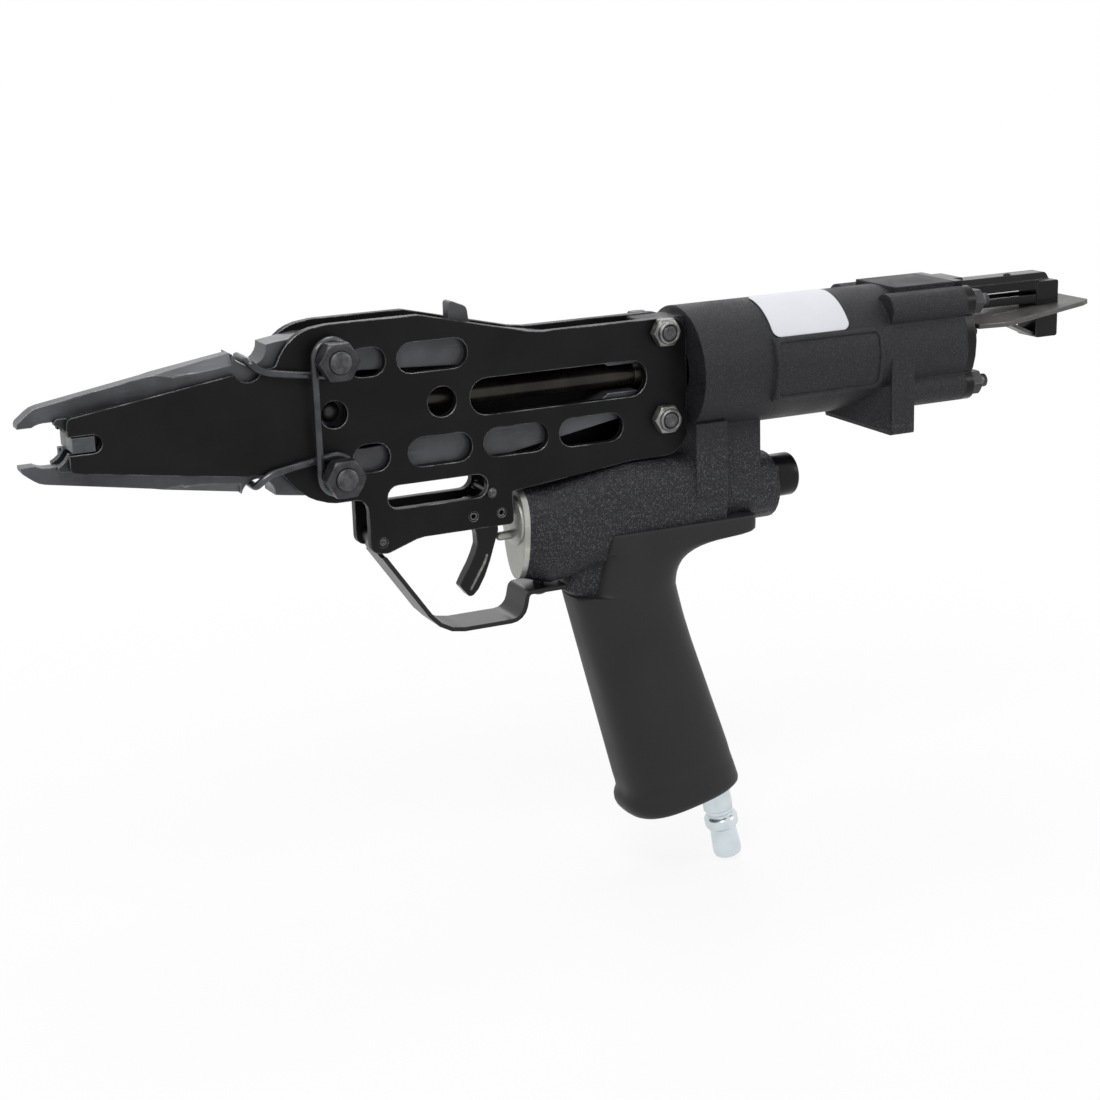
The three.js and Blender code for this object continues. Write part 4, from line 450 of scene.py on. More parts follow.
class Shell:
    """Gathers grids of points in millimetres into one mesh. What is turned stands round the
    axis through the centre."""

    # An axis, and the two that its rings lie across
    AXES = {"X": (0, 1, 2), "Y": (1, 0, 2), "Z": (2, 0, 1)}
    RECESS = 0.3

    def __init__(self, axis="Z", centre=(0.0, 0.0, 0.0)):
        self.axis = axis
        self.centre = centre
        self.points = []
        self.faces = []
        self.count = 0

    def grid(self, points, close_rows=False, cap=True):
        """Rows of points, each a closed ring. Caps close the first row and the last."""
        rows, columns, _ = points.shape
        self.faces.extend(grid_faces(rows, columns, close_rows, self.count).tolist())
        if cap and not close_rows:
            first = np.arange(columns) + self.count
            self.faces.append(first[::-1].tolist())
            self.faces.append((first + (rows - 1) * columns).tolist())
        self.points.append(points.reshape(-1, 3))
        self.count += rows * columns
        return self

    def rings(self, along, radius, sides, close_rows):
        """Row i stands at along[i] and has the radius radius[i, j] at the angle j."""
        first, second, third = self.AXES[self.axis]
        turns = full_turn(sides)
        rows = np.empty((len(along), sides, 3))
        rows[..., first] = np.asarray(along)[:, None]
        rows[..., second] = self.centre[second] + radius * np.cos(turns)
        rows[..., third] = self.centre[third] + radius * np.sin(turns)
        return self.grid(rows, close_rows, cap=False)

    def lathe(self, profile, sides=72, bore=False):
        """A profile of [along, radius] turned about the axis. A radius of zero closes an end;
        with a bore, the profile's end joins its start instead."""
        profile = np.asarray(profile, dtype=float)
        return self.rings(profile[:, 0], profile[:, 1:2], sides, bore)

    def nut(self, low, high, across, bore, sides=144):
        """A six-sided nut: at each angle the radius is the smaller of the hexagon's and of a cone
        that opens by the square root of three from just inside the flats at each end face."""
        sector = np.pi / 3
        hexagon = across / 2 / np.cos(full_turn(sides) % sector - sector / 2)
        steps = size_of("nut_chamfer") * np.array([0.0, 0.15, 0.3, 0.5, 0.75, 1.0, 1.4])
        cone = across / 2 * 0.96 + steps * math.sqrt(3)
        inner = np.full((1, sides), float(bore))
        radius = np.concatenate([inner, np.minimum(hexagon, cone[:, None]),
                                 np.minimum(hexagon, cone[::-1, None]), inner])
        along = np.concatenate([[low], low + steps, high - steps[::-1], [high]])
        return self.rings(along, radius, sides, True)

    def head(self, low, high, across, bore, core):
        """A bolt's six-sided head: a nut whose bore is filled but for a shallow recess."""
        top = high - self.RECESS
        return self.nut(low, high, across, bore).lathe(
            [[low, 0.0], [low, core], [top, core], [top, 0.0]])

    def build(self, name, finish, body="frame", replaces=(), sharp=SHARP):
        mesh = closed_mesh(name, np.concatenate(self.points) * MM, self.faces)
        return place_piece(mesh, name, finish, body, replaces, sharp)

    def detail(self, node, finish):
        """The piece that stands for a node with more detail than its solid has."""
        return self.build(node + "_detail", finish, "frame", [node])


def carried(path, radius, sides):
    """A circle carried along the path. Its first direction is turned from step to step by the
    least that keeps it square to the path."""
    along = np.gradient(path, axis=0)
    along /= np.linalg.norm(along, axis=1)[:, None]
    across = np.empty_like(along)
    start = np.array([0.0, 1.0, 0.0]) if abs(along[0][1]) < 0.9 else np.array([1.0, 0.0, 0.0])
    for k, direction in enumerate(along):
        start = start - direction * start.dot(direction)
        start /= np.linalg.norm(start)
        across[k] = start
    other = np.cross(along, across)
    turns = full_turn(sides)
    return (path[:, None, :] + radius * np.cos(turns)[None, :, None] * across[:, None, :]
            + radius * np.sin(turns)[None, :, None] * other[:, None, :])


def round_end(ring, tip, inner, radius):
    """Rings beyond a wire's tip, away from its inner neighbour, that shrink as a quarter circle
    does: the share left is the root of one less the square of how far out they stand."""
    out = (tip - inner) / np.linalg.norm(tip - inner)
    bulge = np.array([0.4, 0.75, 0.95])[:, None, None]
    return tip + out * radius * bulge + (ring - tip) * np.sqrt(1 - bulge ** 2)


def wire(path, radius, sides):
    """A round wire: a circle carried along the path, with rounded ends."""
    rings = carried(path, radius, sides)
    front = round_end(rings[0], path[0], path[1], radius)[::-1]
    back = round_end(rings[-1], path[-1], path[-2], radius)
    return Shell().grid(np.concatenate([front, rings, back]))


def evenly(points, step):
    """The points of a bent line, spaced evenly along it by straight shares of its length."""
    points = np.asarray(points, dtype=float)
    lengths = np.concatenate([[0], np.cumsum(np.linalg.norm(np.diff(points, axis=0), axis=1))])
    places = np.linspace(0, lengths[-1], max(2, int(lengths[-1] / step)))
    return np.stack([np.interp(places, lengths, points[:, k]) for k in range(3)], axis=1)


def softened(points, step, length, passes=3):
    """Rounds the corners of a line: each point becomes the mean of those near it, with the line
    run on straight past its ends."""
    line = evenly(points, step)
    reach = max(1, int(length / step / 2))
    kernel = np.ones(2 * reach + 1) / (2 * reach + 1)
    beyond = np.arange(1, reach + 1)[:, None]
    for _ in range(passes):
        padded = np.concatenate([line[0] + (line[0] - line[1]) * beyond[::-1], line,
                                 line[-1] + (line[-1] - line[-2]) * beyond])
        line = np.stack([np.convolve(padded[:, k], kernel, mode="valid") for k in range(3)],
                        axis=1)
    return line


def rounded_box(half_u, half_v, corner, per_corner=10, per_side=14):
    """The outline of a rectangle with round corners: four quarter circles about the corners'
    centres, with points spread evenly along the sides between them."""
    quarter = np.linspace(0, np.pi / 2, per_corner)
    u, v = half_u - corner, half_v - corner
    corners = [np.stack([cu + corner * np.cos(quarter + turn * np.pi / 2),
                         cv + corner * np.sin(quarter + turn * np.pi / 2)], axis=1)
               for turn, (cu, cv) in enumerate(((u, v), (-u, v), (-u, -v), (u, -v)))]
    sides = [np.linspace(corners[k][-1], corners[(k + 1) % 4][0], per_side + 2)[1:-1]
             for k in range(4)]
    return np.concatenate([part for pair in zip(corners, sides) for part in pair])


# ---------------------------------------------------------------- operators

class HOGRING_OT_stage(Operator):
    """Pale floor, white surroundings, soft lamps and the camera of the photograph"""

    bl_idname = "hogring.stage"
    bl_label = "Stage"

    AZIMUTH = math.radians(-24.7993)
    ELEVATION = math.radians(15.3696)
    ROLL = math.radians(-1.8585)
    PLACE = (-0.5087689, -0.7084265, 0.150638)
    FOCAL_PIXELS = 2137.8676
    FRAME_PIXELS = 1100.0
    SENSOR = 36.0
    NEAREST, FARTHEST = 0.01, 50.0
    # The floor is lit paper near the tool, where it keeps the shadow, and plain white further out
    FLOOR_X = -0.15
    FLOOR_RADIUS = 7.0
    FLOOR_GAP = 0.001
    FLOOR_GRID = (24, 64)
    FLOOR_TONE = (0.86, 0.86, 0.86, 1.0)
    FLOOR_CENTRE = (-0.16, 0.0, -0.2)
    SHADOW_REACH = (0.18, 0.5)
    FLOOR_WHITE = 0.86
    WHITE = (1.0, 1.0, 1.0, 1.0)
    ROOM_LIGHT = 0.38
    LAMP_TARGET = (-0.17, 0.0, -0.04)
    # Name, place, diameter and watts
    LAMPS = (
        ("key", (-0.75, -0.85, 1.05), 0.6, 9.5),
        ("top", (0.0, 0.1, 1.3), 0.9, 7.0),
        ("side", (0.95, -0.8, 0.5), 0.6, 3.5),
        ("back", (0.2, 1.2, 0.8), 0.8, 4.0),
    )

    def execute(self, context):
        self.camera()
        self.floor()
        self.world()
        self.lamps()
        bpy.context.scene.view_settings.view_transform = "Standard"
        return {"FINISHED"}

    @staticmethod
    def put(name, data):
        made = bpy.data.objects.new(name, data)
        bpy.context.scene.collection.objects.link(made)
        return made

    def camera(self):
        """Looks back along its azimuth and elevation, then rolls about its own line of sight."""
        a, e, roll = self.AZIMUTH, self.ELEVATION, self.ROLL
        back = Vector((math.sin(a) * math.cos(e), -math.cos(a) * math.cos(e), math.sin(e)))
        right = Vector((math.cos(a), math.sin(a), 0.0))
        up = back.cross(right)
        turned_right = right * math.cos(roll) + up * math.sin(roll)
        turned_up = up * math.cos(roll) - right * math.sin(roll)
        data = bpy.data.cameras.new("photo_camera")
        data.sensor_fit = "HORIZONTAL"
        data.sensor_width = self.SENSOR
        data.lens = self.FOCAL_PIXELS * self.SENSOR / self.FRAME_PIXELS
        data.clip_start = self.NEAREST
        data.clip_end = self.FARTHEST
        camera = self.put("photo_camera", data)
        turn = Matrix((turned_right, turned_up, back)).transposed().to_4x4()
        camera.matrix_world = Matrix.Translation(self.PLACE) @ turn
        bpy.context.scene.camera = camera

    def white_when_seen(self, tree, lit, plain, share, output):
        """Mixes a share of plain white into what is lit, for rays from the camera, a mirror or
        glass."""
        white = tree.add(plain, {"Color": self.WHITE, "Strength": 1.0})
        path = tree.node("LightPath").outputs
        seen = tree.maths("MAXIMUM", path["Is Camera Ray"], path["Is Glossy Ray"])
        seen = tree.maths("MAXIMUM", seen, path["Is Transmission Ray"])
        mixed = tree.add("MixShader", {0: tree.times(seen, share), 1: lit, 2: white})
        tree.node(output, {"Surface": mixed})

    def floor(self):
        """A disc just under the tool: rings whose radius grows as the square of their number."""
        rows, columns = self.FLOOR_GRID
        reach = np.linspace(0, 1, rows)[:, None] ** 2 * self.FLOOR_RADIUS
        turns = full_turn(columns)
        level = np.full(self.FLOOR_GRID, cad_box[0][2] - self.FLOOR_GAP)
        points = np.stack([self.FLOOR_X + reach * np.cos(turns), reach * np.sin(turns), level],
                          axis=-1)
        mesh = closed_mesh("floor", points.reshape(-1, 3), grid_faces(rows, columns).tolist())
        if mesh.polygons[0].normal.z < 0:
            mesh.flip_normals()
        material = bpy.data.materials.new("pale_floor")
        tree = Tree(material)
        place = tree.add("TexCoord", output="Object")
        away = tree.add("VectorMath", {0: place, 1: self.FLOOR_CENTRE}, "Value",
                        operation="DISTANCE")
        share = tree.spread(away, *self.SHADOW_REACH, self.FLOOR_WHITE, 1.0)
        pale = tree.add("BsdfDiffuse", {"Color": self.FLOOR_TONE})
        self.white_when_seen(tree, pale, "Emission", share, "OutputMaterial")
        mesh.materials.append(material)
        floor = self.put("floor", mesh)

    def world(self):
        world = bpy.data.worlds.new("white_room")
        bpy.context.scene.world = world
        tree = Tree(world)
        dim = tree.add("Background", {"Color": self.WHITE, "Strength": self.ROOM_LIGHT})
        self.white_when_seen(tree, dim, "Background", 1.0, "OutputWorld")

    def lamps(self):
        for name, place, size, power in self.LAMPS:
            data = bpy.data.lights.new(name, "AREA")
            data.shape = "DISK"
            data.size = size
            data.energy = power
            lamp = self.put(name, data)
            lamp.location = place
            sight = Vector(self.LAMP_TARGET) - Vector(place)
            lamp.rotation_euler = sight.to_track_quat("-Z", "Y").to_euler()


class HOGRING_OT_inside(Operator):
    """The inner pieces: some keep their own solid, and three that show are shaded smooth"""

    bl_idname = "hogring.inside"
    bl_label = "Inner pieces"

    KEPT_SOLIDS = {
        "bolt_steel": ("piston_nut", "gate_pin"),
        "aluminium": ("rod_bush", "stop_sleeve", "piston"),
        "seal_black": ("piston_seal",),
        "bar_steel": ("piston_rod",),
    }

    def execute(self, context):
        for finish, nodes in self.KEPT_SOLIDS.items():
            for node in nodes:
                give(node, finish)
        refined("spreader", "spreader_skin", "bar_steel", "piston")
        for level in LEVELS:
            refined("spring_bush_" + level, "bush_%s_skin" % level, "nut_steel")
        return {"FINISHED"}


class HOGRING_OT_plates(Operator):
    """Side plates with their slots, satin black and rubbed bright along the edges"""

    bl_idname = "hogring.plates"
    bl_label = "Side plates"

    def execute(self, context):
        for side in SIDES:
            refined("side_plate_" + side, "plate_%s_skin" % side, "plate_steel")
        return {"FINISHED"}


class HOGRING_OT_jaws(Operator):
    """Jaws, guide cheeks and ring pusher with its domed rivet"""

    bl_idname = "hogring.jaws"
    bl_label = "Jaws and pusher"

    FACET_ANGLE = 12.0
    RIVET_RISE = 2.4
    SHANK_SHARE = 0.55

    def execute(self, context):
        for level in LEVELS:
            jaw = level + "_jaw"
            refined(jaw, "jaw_%s_skin" % level, "jaw_steel", jaw, self.FACET_ANGLE)
        for side in SIDES:
            # The cheeks' greenish dark tone is painted shade with a painted cool reflection
            refined("guide_cheek_" + side, "cheek_%s_skin" % side, "cheek_steel")
        refined("ring_pusher", "pusher_skin", "bright_steel", "pusher")
        self.rivet()
        return {"FINISHED"}

    def rivet(self):
        """Two heads and the shank between them: each head is a quarter ellipse turned about Y."""
        low, high, centre = box_of("pusher_rivet")
        head = (high[0] - low[0]) / 2
        half = (high[1] - low[1]) / 2
        rise = self.RIVET_RISE
        shank = head * self.SHANK_SHARE
        profile = [*dome(-half, -rise, head, 9)[::-1], [rise - half, shank], [half - rise, shank],
                   *dome(half, rise, head, 9)]
        Shell("Y", centre).lathe(profile, 48).build("rivet_domes", "nut_steel", "pusher",
                                                    ["pusher_rivet"])


class HOGRING_OT_fasteners(Operator):
    """Nuts, bolts, pins and screws with chamfers, threads and recesses"""

    bl_idname = "hogring.fasteners"
    bl_label = "Fasteners"

    # Radius and pitch of the threads
    PIVOT = (4.0, 1.25)
    REAR = (3.0, 1.0)
    STUD = (2.6, 0.8)
    VEE = 0.9
    # Where the cap's nuts sit, and their height and width across the flats
    CAP_SEAT, CAP_NUT, CAP_ACROSS = -4.2, 5.0, 9.0
    # A hollow pin's end, as depth and radius
    PIN_END = ((3.0, 0.0), (3.0, 0.8), (0.2, 0.85), (0.0, 1.0), (0.0, 1.3), (0.25, 1.5))

    def execute(self, context):
        for level in LEVELS:
            self.pivot(level)
            self.rear(level)
        for side in SIDES:
            for level in LEVELS:
                self.cap_screw("cap_screw_%s_%s" % (side, level))
        self.hollow_pin("trigger_pin")
        self.hollow_pin("plate_pin")
        self.domed_screw("plate_screw", "bolt_steel", "Y", (1.3, 2.1, 7), 2,
                         ((0.55, 0.0), (0.55, 0.7), (0.05, 0.8)), 1.3, 40)
        self.guard_screw()
        self.domed_screw("guard_rear_screw", "nut_steel", "Z", (2.6, 4.0, 8), 3,
                         ((1.2, 0.0), (1.2, 1.3), (0.12, 1.5)), 2.0, 48)
        return {"FINISHED"}

    def thread(self, start, end, radius, pitch):
        """The part of a bolt's thread that shows, as a row of shallow vees, one to each pitch."""
        count = max(1, int((end - start) / pitch))
        places = start + np.arange(count)[:, None] * pitch + np.array([0.0, 0.5, 1.0]) * pitch
        radii = np.broadcast_to(radius * np.array([1.0, self.VEE, 1.0]), places.shape)
        return np.stack([places.ravel(), radii.ravel()], axis=1)

    def pivot(self, level):
        """A nut with a round washer face, and a bolt whose threaded end stands out of it."""
        nut, bolt = "pivot_nut_" + level, "pivot_bolt_" + level
        low, high, centre = box_of(nut)
        across, face = high[2] - low[2], high[1]
        radius, pitch = self.PIVOT
        washer = across * 0.47
        Shell("Y", centre).nut(low[1], face, across, radius + 0.15).lathe(
            [[face - 0.1, radius + 0.3], [face - 0.1, washer], [face + 0.25, washer],
             [face + 0.25, radius + 0.3]], bore=True).detail(nut, "nut_steel")
        start, end, top = box_of(bolt)[0][1], low[1] + 2.5, box_of(bolt)[1][1]
        Shell("Y", centre).lathe(
            [[start, 0.0], [start, radius * 0.8], *self.thread(start + 0.55, end, radius, pitch),
             [end, radius], [top - 5.4, radius], [top - 5.4, 0.0]]).head(
            top - 5.3, top, across, radius * 0.6, radius * 0.7).detail(bolt, "bolt_steel")

    def rear(self, level):
        """A lock nut whose round collar ends in a quarter circle, and a bolt with a dished end."""
        nut, bolt = "lock_nut_" + level, "rear_bolt_" + level
        low, high, centre = box_of(nut)
        across, tip, flats = high[2] - low[2], low[1], low[1] + 2.0
        radius, pitch = self.REAR
        bore, collar, bend = 3.2, 4.3, 0.9
        Shell("Y", centre).nut(flats, high[1], across, bore).lathe(
            [[flats + 0.3, bore], [flats + 0.3, collar], *dome(tip, -bend, bend, 7, collar - bend),
             [tip, 3.6], [tip + 0.35, 3.35], [tip + 0.35, bore]], bore=True).detail(
            nut, "lock_nut_zinc")
        start, top = box_of(bolt)[0][1], box_of(bolt)[1][1]
        Shell("Y", centre).lathe(
            [[start + 0.4, 0.0], [start + 0.4, 1.0], [start, 1.3], [start, 2.5],
             *self.thread(start + 0.4, start + 3.4, radius, pitch),
             [top - 4.1, radius], [top - 4.1, 0.0]]).head(
            top - 4.0, top, across, 2.0, 2.2).detail(bolt, "bolt_steel")

    def cap_screw(self, node):
        """A nut on a thin washer, with the end of its threaded stud."""
        low, high, centre = box_of(node)
        radius, pitch = self.STUD
        tip, end, seat, top = low[0], high[0], self.CAP_SEAT, self.CAP_SEAT + self.CAP_NUT
        Shell("X", centre).nut(seat, top, self.CAP_ACROSS, 2.7).lathe(
            [[tip, 0.0], [tip, 2.2], [tip + 0.4, 2.5], [seat + 0.5, 2.5], [top, radius],
             *self.thread(top + 0.2, end - 0.8, radius, pitch), [end - 0.5, radius],
             [end, radius - 0.6], [end, 0.0]], 48).lathe(
            [[seat - 0.05, 2.8], [seat - 0.05, 4.9], [seat + 0.4, 4.9], [seat + 0.4, 2.8]],
            bore=True).detail(node, "nut_steel")

    def hollow_pin(self, node):
        """A spring pin, hollow at both ends: one end's profile and its mirror, turned about Y."""
        low, high, centre = box_of(node)
        profile = [[low[1] + depth, radius] for depth, radius in self.PIN_END]
        profile += [[high[1] - depth, radius] for depth, radius in reversed(self.PIN_END)]
        Shell("Y", centre).lathe(profile, 40).detail(node, "bolt_steel")

    def domed_screw(self, node, finish, axis, crown, skipped, socket, shank, sides):
        """A screw with a socket in its domed head: the crown is a quarter ellipse of a rise, a
        radius and a number of steps, without the steps nearest its tip."""
        low, high, centre = box_of(node)
        tip, end = (corner["XYZ".index(axis)] for corner in (low, high))
        rise, radius, steps = crown
        Shell(axis, centre).lathe(
            [*([tip + depth, r] for depth, r in socket),
             *dome(tip, -rise, radius, steps)[::-1][skipped:],
             [tip + rise, shank], [end, shank], [end, 0.0]], sides).detail(node, finish)

    def guard_screw(self):
        """A small screw with a chamfered end and a round hollow in it."""
        low, high, centre = box_of("guard_front_screw")
        tip, end = low[1], high[1]
        Shell("Y", centre).lathe(
            [[tip + 0.5, 0.0], [tip + 0.5, 0.6], [tip, 0.8], [tip, 1.25], [tip + 0.25, 1.5],
             [end - 0.25, 1.5], [end, 1.2], [end, 0.0]], 40).detail(
            "guard_front_screw", "bolt_steel")


class HOGRING_OT_springs(Operator):
    """The jaw spring's round wire and the two coil springs inside"""

    bl_idname = "hogring.springs"
    bl_label = "Springs"

    CREASE = 60.0
    CURL_RADIUS = 6.7
    CURL_SHIFT = 3.4
    CURL_TURN = 1.5 * np.pi
    HOOK_RISE = 1.6
    PATH_STEP = 0.35
    STEPS_PER_TURN = 36
    CLOSING = 0.35

    def execute(self, context):
        self.jaw_spring()
        turns = bpy.context.scene.tool_sizes
        self.coil("return_spring", "piston_slide", turns.return_turns, "return_wire", 0, 0.55)
        self.coil("valve_spring", "valve_stem_slide", turns.valve_turns, "valve_wire", 1, 0.93)
        return {"FINISHED"}

    def jaw_spring(self):
        """One wire: hook, arm, three quarters of a turn round the bolt, upright run, and the same
        again below, mirrored. A turn is a circle that also shifts sideways by the pitch."""
        pivot = box_of("pivot_nut_upper")[2]
        low, high, _ = box_of("jaw_spring")
        radius = size_of("wire_radius")
        bend = 2 * radius
        curl = self.CURL_RADIUS
        outer_y = low[1] + radius
        inner_y = outer_y + self.CURL_SHIFT
        turn = np.linspace(0, 1, 60)
        angle = np.pi - turn * self.CURL_TURN
        upright = [[pivot[0] - curl, outer_y, 0.0], [pivot[0] - curl, outer_y, pivot[2] - curl]]
        curled = np.stack([pivot[0] + curl * np.cos(angle), outer_y + turn * self.CURL_SHIFT,
                           pivot[2] + curl * np.sin(angle)], axis=1)
        hook_x, hook_z = low[0] + radius, pivot[2] + self.HOOK_RISE
        hook = [[hook_x + bend * 2, inner_y, hook_z - bend * 1.6],
                [hook_x + bend / 2, inner_y, hook_z - bend * 0.7],
                [hook_x, inner_y + bend / 2, hook_z], [hook_x, high[1] - radius, hook_z]]
        half = np.concatenate([upright, curled, hook])
        lower = half[1:][::-1] * np.array([1.0, 1.0, -1.0])
        line = softened(np.concatenate([lower, half]), self.PATH_STEP, size_of("wire_bend"))
        wire(line, radius, 20).build("jaw_spring_wire", "spring_steel", "frame", ["jaw_spring"],
                                     self.CREASE)

    def coil(self, node, joint, turns, wire_size, fixed_end, keep):
        """A helix between the sleeve's ends: its pitch closes up over the last turn at each end."""
        radius = size_of(wire_size)
        low, high, centre = box_of(node)
        reach = (high[2] - low[2]) / 2 - radius
        share = np.linspace(0, 1, turns * self.STEPS_PER_TURN)
        eased = share - np.sin(2 * np.pi * share) / (2 * np.pi) * self.CLOSING
        angle = share * turns * 2 * np.pi
        path = np.stack([low[0] + radius + eased * (high[0] - low[0] - 2 * radius),
                         centre[1] + reach * np.cos(angle), centre[2] + reach * np.sin(angle)],
                        axis=1)
        piece = wire(path, radius, 10).build(node + "_coil", "spring_steel", "frame", [node],
                                             self.CREASE)
        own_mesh(piece)


class HOGRING_OT_casting(Operator):
    """The cast body in its speckled coat, with the rim round the side pad"""

    bl_idname = "hogring.casting"
    bl_label = "Casting"

    CREASE = 40.0
    BARREL_RADIUS = 25.0
    # The pad's middle along the barrel and round it from the top, its half length and its span
    PAD_X = -72.25
    PAD_TURN = math.radians((62.5 + 121) / 2)
    PAD_HALF = 24.25
    PAD_SPAN = math.radians(58.5)
    PAD_CORNER = 3.2
    PAD_EDGE = 0.15
    # Across the rim: shares of its width inwards, and of its height up
    INWARDS = np.array([0.0, 0.0, 0.15, 0.4, 0.75, 0.92, 1.0, 1.0])
    UP = np.array([-0.3, 0.0, 0.7, 1.0, 1.0, 0.6, 0.0, -0.3])

    def execute(self, context):
        refined("casting", "casting_skin", "casting_black", "frame", self.CREASE)
        self.pad_rim()
        return {"FINISHED"}

    def pad_rim(self):
        """A low rim inside the pad's edge: a rounded box on the barrel's surface, carried as a
        flat-topped ridge whose height follows its profile across the rim."""
        half_x = self.PAD_HALF - self.PAD_EDGE
        half_arc = self.PAD_SPAN / 2 * self.BARREL_RADIUS - self.PAD_EDGE
        rows = []
        for inwards, up in zip(self.INWARDS * size_of("pad_rim_width"),
                               self.UP * size_of("pad_rim_height")):
            outline = rounded_box(half_x - inwards, half_arc - inwards,
                                  self.PAD_CORNER - inwards * 0.5)
            angle = self.PAD_TURN + outline[:, 1] / self.BARREL_RADIUS
            away = self.BARREL_RADIUS + up
            rows.append(np.stack([self.PAD_X + outline[:, 0], -away * np.sin(angle),
                                  away * np.cos(angle)], axis=1))
        Shell().grid(np.array(rows), close_rows=True).build("side_pad_rim", "casting_black")


class HOGRING_OT_grip(Operator):
    """The rubber grip: one skin from its bottom rim up to the tang under the housing"""

    bl_idname = "hogring.grip"
    bl_label = "Grip"

    CREASE = 48.0
    SIDES = 128
    LEAN = math.tan(HANDLE_LEAN)
    HALF_WIDTH = 17.0
    SQUARENESS = 2.7
    # How far a leaning ring's front and rear stand from its middle, at the rim and above it
    RIM_REACH = (24.6, 23)
    BODY_REACH = (23, 21)
    # The body's lowest and highest ring, and their number; the highest ones lie level
    BODY = (-157.0, -84.5, 30)
    # Front and rear of the grip's body against height, and what the middle line does
    FRONT_LINE = np.array([[-177.0, -150.9], [-165.0, -153.95], [-82.3, -174.8], [-60.0, -180.4]])
    REAR_LINE = np.array([[-170.0, -102.8], [-162.5, -105.3], [-145.0, -111.1], [-125.0, -118.0],
                          [-105.0, -124.9], [-95.0, -128.0], [-88.0, -129.8], [-83.0, -131.0]])
    MIDDLE_LINE = np.array([[-177.0, -127.5], [-82.0, -150.5], [-57.0, -150.5]])
    # The bottom's rim: distance above the bottom, and how far the front stands out of its line
    RIM = np.array([[-1.2, -3.6], [-1.2, -2.4], [-0.9, -1.2], [-0.3, -0.2], [0.8, 0.9], [2.4, 1.8],
                    [4.2, 2.2], [5.8, 2.0], [7.0, 1.4], [8.0, 0.6], [9.2, 0.1], [11.5, 0.0]])
    # The notch, neck and tang: height, front, rear, and how square the front and rear ends are
    TOP = np.array([
        [-82.7, -174.5, -131.0, 2.8, 2.7], [-82.2, -173.9, -131.1, 3.0, 2.7],
        [-81.95, -172.2, -131.15, 3.6, 2.7], [-81.85, -169.6, -131.2, 3.4, 2.7],
        [-81.5, -168.9, -131.2, 3.4, 2.7], [-79.5, -168.2, -131.2, 3.4, 2.8],
        [-77.0, -167.6, -130.9, 3.4, 2.9], [-74.5, -167.0, -130.0, 3.4, 3.0],
        [-72.0, -166.4, -128.2, 3.4, 3.1], [-70.0, -165.9, -125.4, 3.4, 3.2],
        [-68.4, -165.5, -122.0, 3.5, 3.4], [-67.2, -165.2, -118.4, 3.7, 3.7],
        [-66.3, -165.0, -114.6, 4.2, 4.2], [-65.6, -164.9, -110.4, 5.0, 5.0],
        [-65.1, -164.8, -106.2, 6.4, 6.4], [-64.7, -164.7, -102.4, 7.0, 8.5],
        [-64.2, -164.5, -100.3, 8.0, 10.0], [-63.2, -164.3, -99.4, 9.0, 12.0],
        [-61.0, -163.8, -99.3, 10.0, 12.0], [-58.6, -163.2, -99.3, 10.0, 12.0],
        [-57.8, -163.0, -99.6, 10.0, 12.0], [-57.5, -162.6, -100.2, 10.0, 12.0]])
    # The topmost rings are a little narrower
    TOP_EDGE_Z = -57.7
    TOP_EDGE = 0.3

    @staticmethod
    def on_line(z, line):
        return np.interp(z, line[:, 0], line[:, 1])

    def ring(self, z, front, rear, half_y, front_power, rear_power, lean):
        """A closed ring in two halves, both parts of |u/a|^p + |v/b|^p = 1 with their own a and p,
        meeting on the middle line; the ring's height rises by lean towards the rear."""
        turns = full_turn(self.SIDES)
        cosine = np.cos(turns)
        sine = np.sin(turns)
        middle = self.on_line(z, self.MIDDLE_LINE)
        power = np.where(cosine < 0, front_power, rear_power)
        reach = np.where(cosine < 0, middle - front, rear - middle)
        x = middle + reach * np.sign(cosine) * np.abs(cosine) ** (2 / power)
        y = half_y * np.sign(sine) * np.abs(sine) ** (2 / power)
        return np.stack([x, y, z + lean * (x - middle)], axis=1)

    def leaning(self, z, lean, reach, out=0.0, half_y=HALF_WIDTH):
        """A ring of the body: its ends lie on the front and rear lines at their own heights."""
        front = self.on_line(z - lean * reach[0], self.FRONT_LINE) - out
        rear = self.on_line(z + lean * reach[1], self.REAR_LINE) + min(out, 0.0)
        return self.ring(z, front, rear, half_y, self.SQUARENESS, self.SQUARENESS, lean)

    def execute(self, context):
        """Rings from the rim up: the rim swells and turns in under its edge, the body's rings
        lean less and less, and the top follows its table."""
        bottom = box_of("grip_sleeve")[0][2] + self.LEAN * self.RIM_REACH[0]
        rows = [self.leaning(bottom + up, self.LEAN, self.RIM_REACH, out,
                             self.HALF_WIDTH + min(out, 1.0) * 0.45 - 0.3)
                for up, out in self.RIM]
        lowest, highest, _ = self.BODY
        for z in np.linspace(*self.BODY):
            lean = self.LEAN * max(0.0, (highest - z) / (highest - lowest))
            rows.append(self.leaning(z, lean, self.BODY_REACH))
        for z, front, rear, front_power, rear_power in self.TOP:
            half_y = self.HALF_WIDTH - (self.TOP_EDGE if z > self.TOP_EDGE_Z else 0.0)
            rows.append(self.ring(z, front, rear, half_y, front_power, rear_power, 0.0))
        Shell().grid(np.array(rows)).build("grip_skin", "grip_rubber", "frame", ["grip_sleeve"],
                                           self.CREASE)
        return {"FINISHED"}


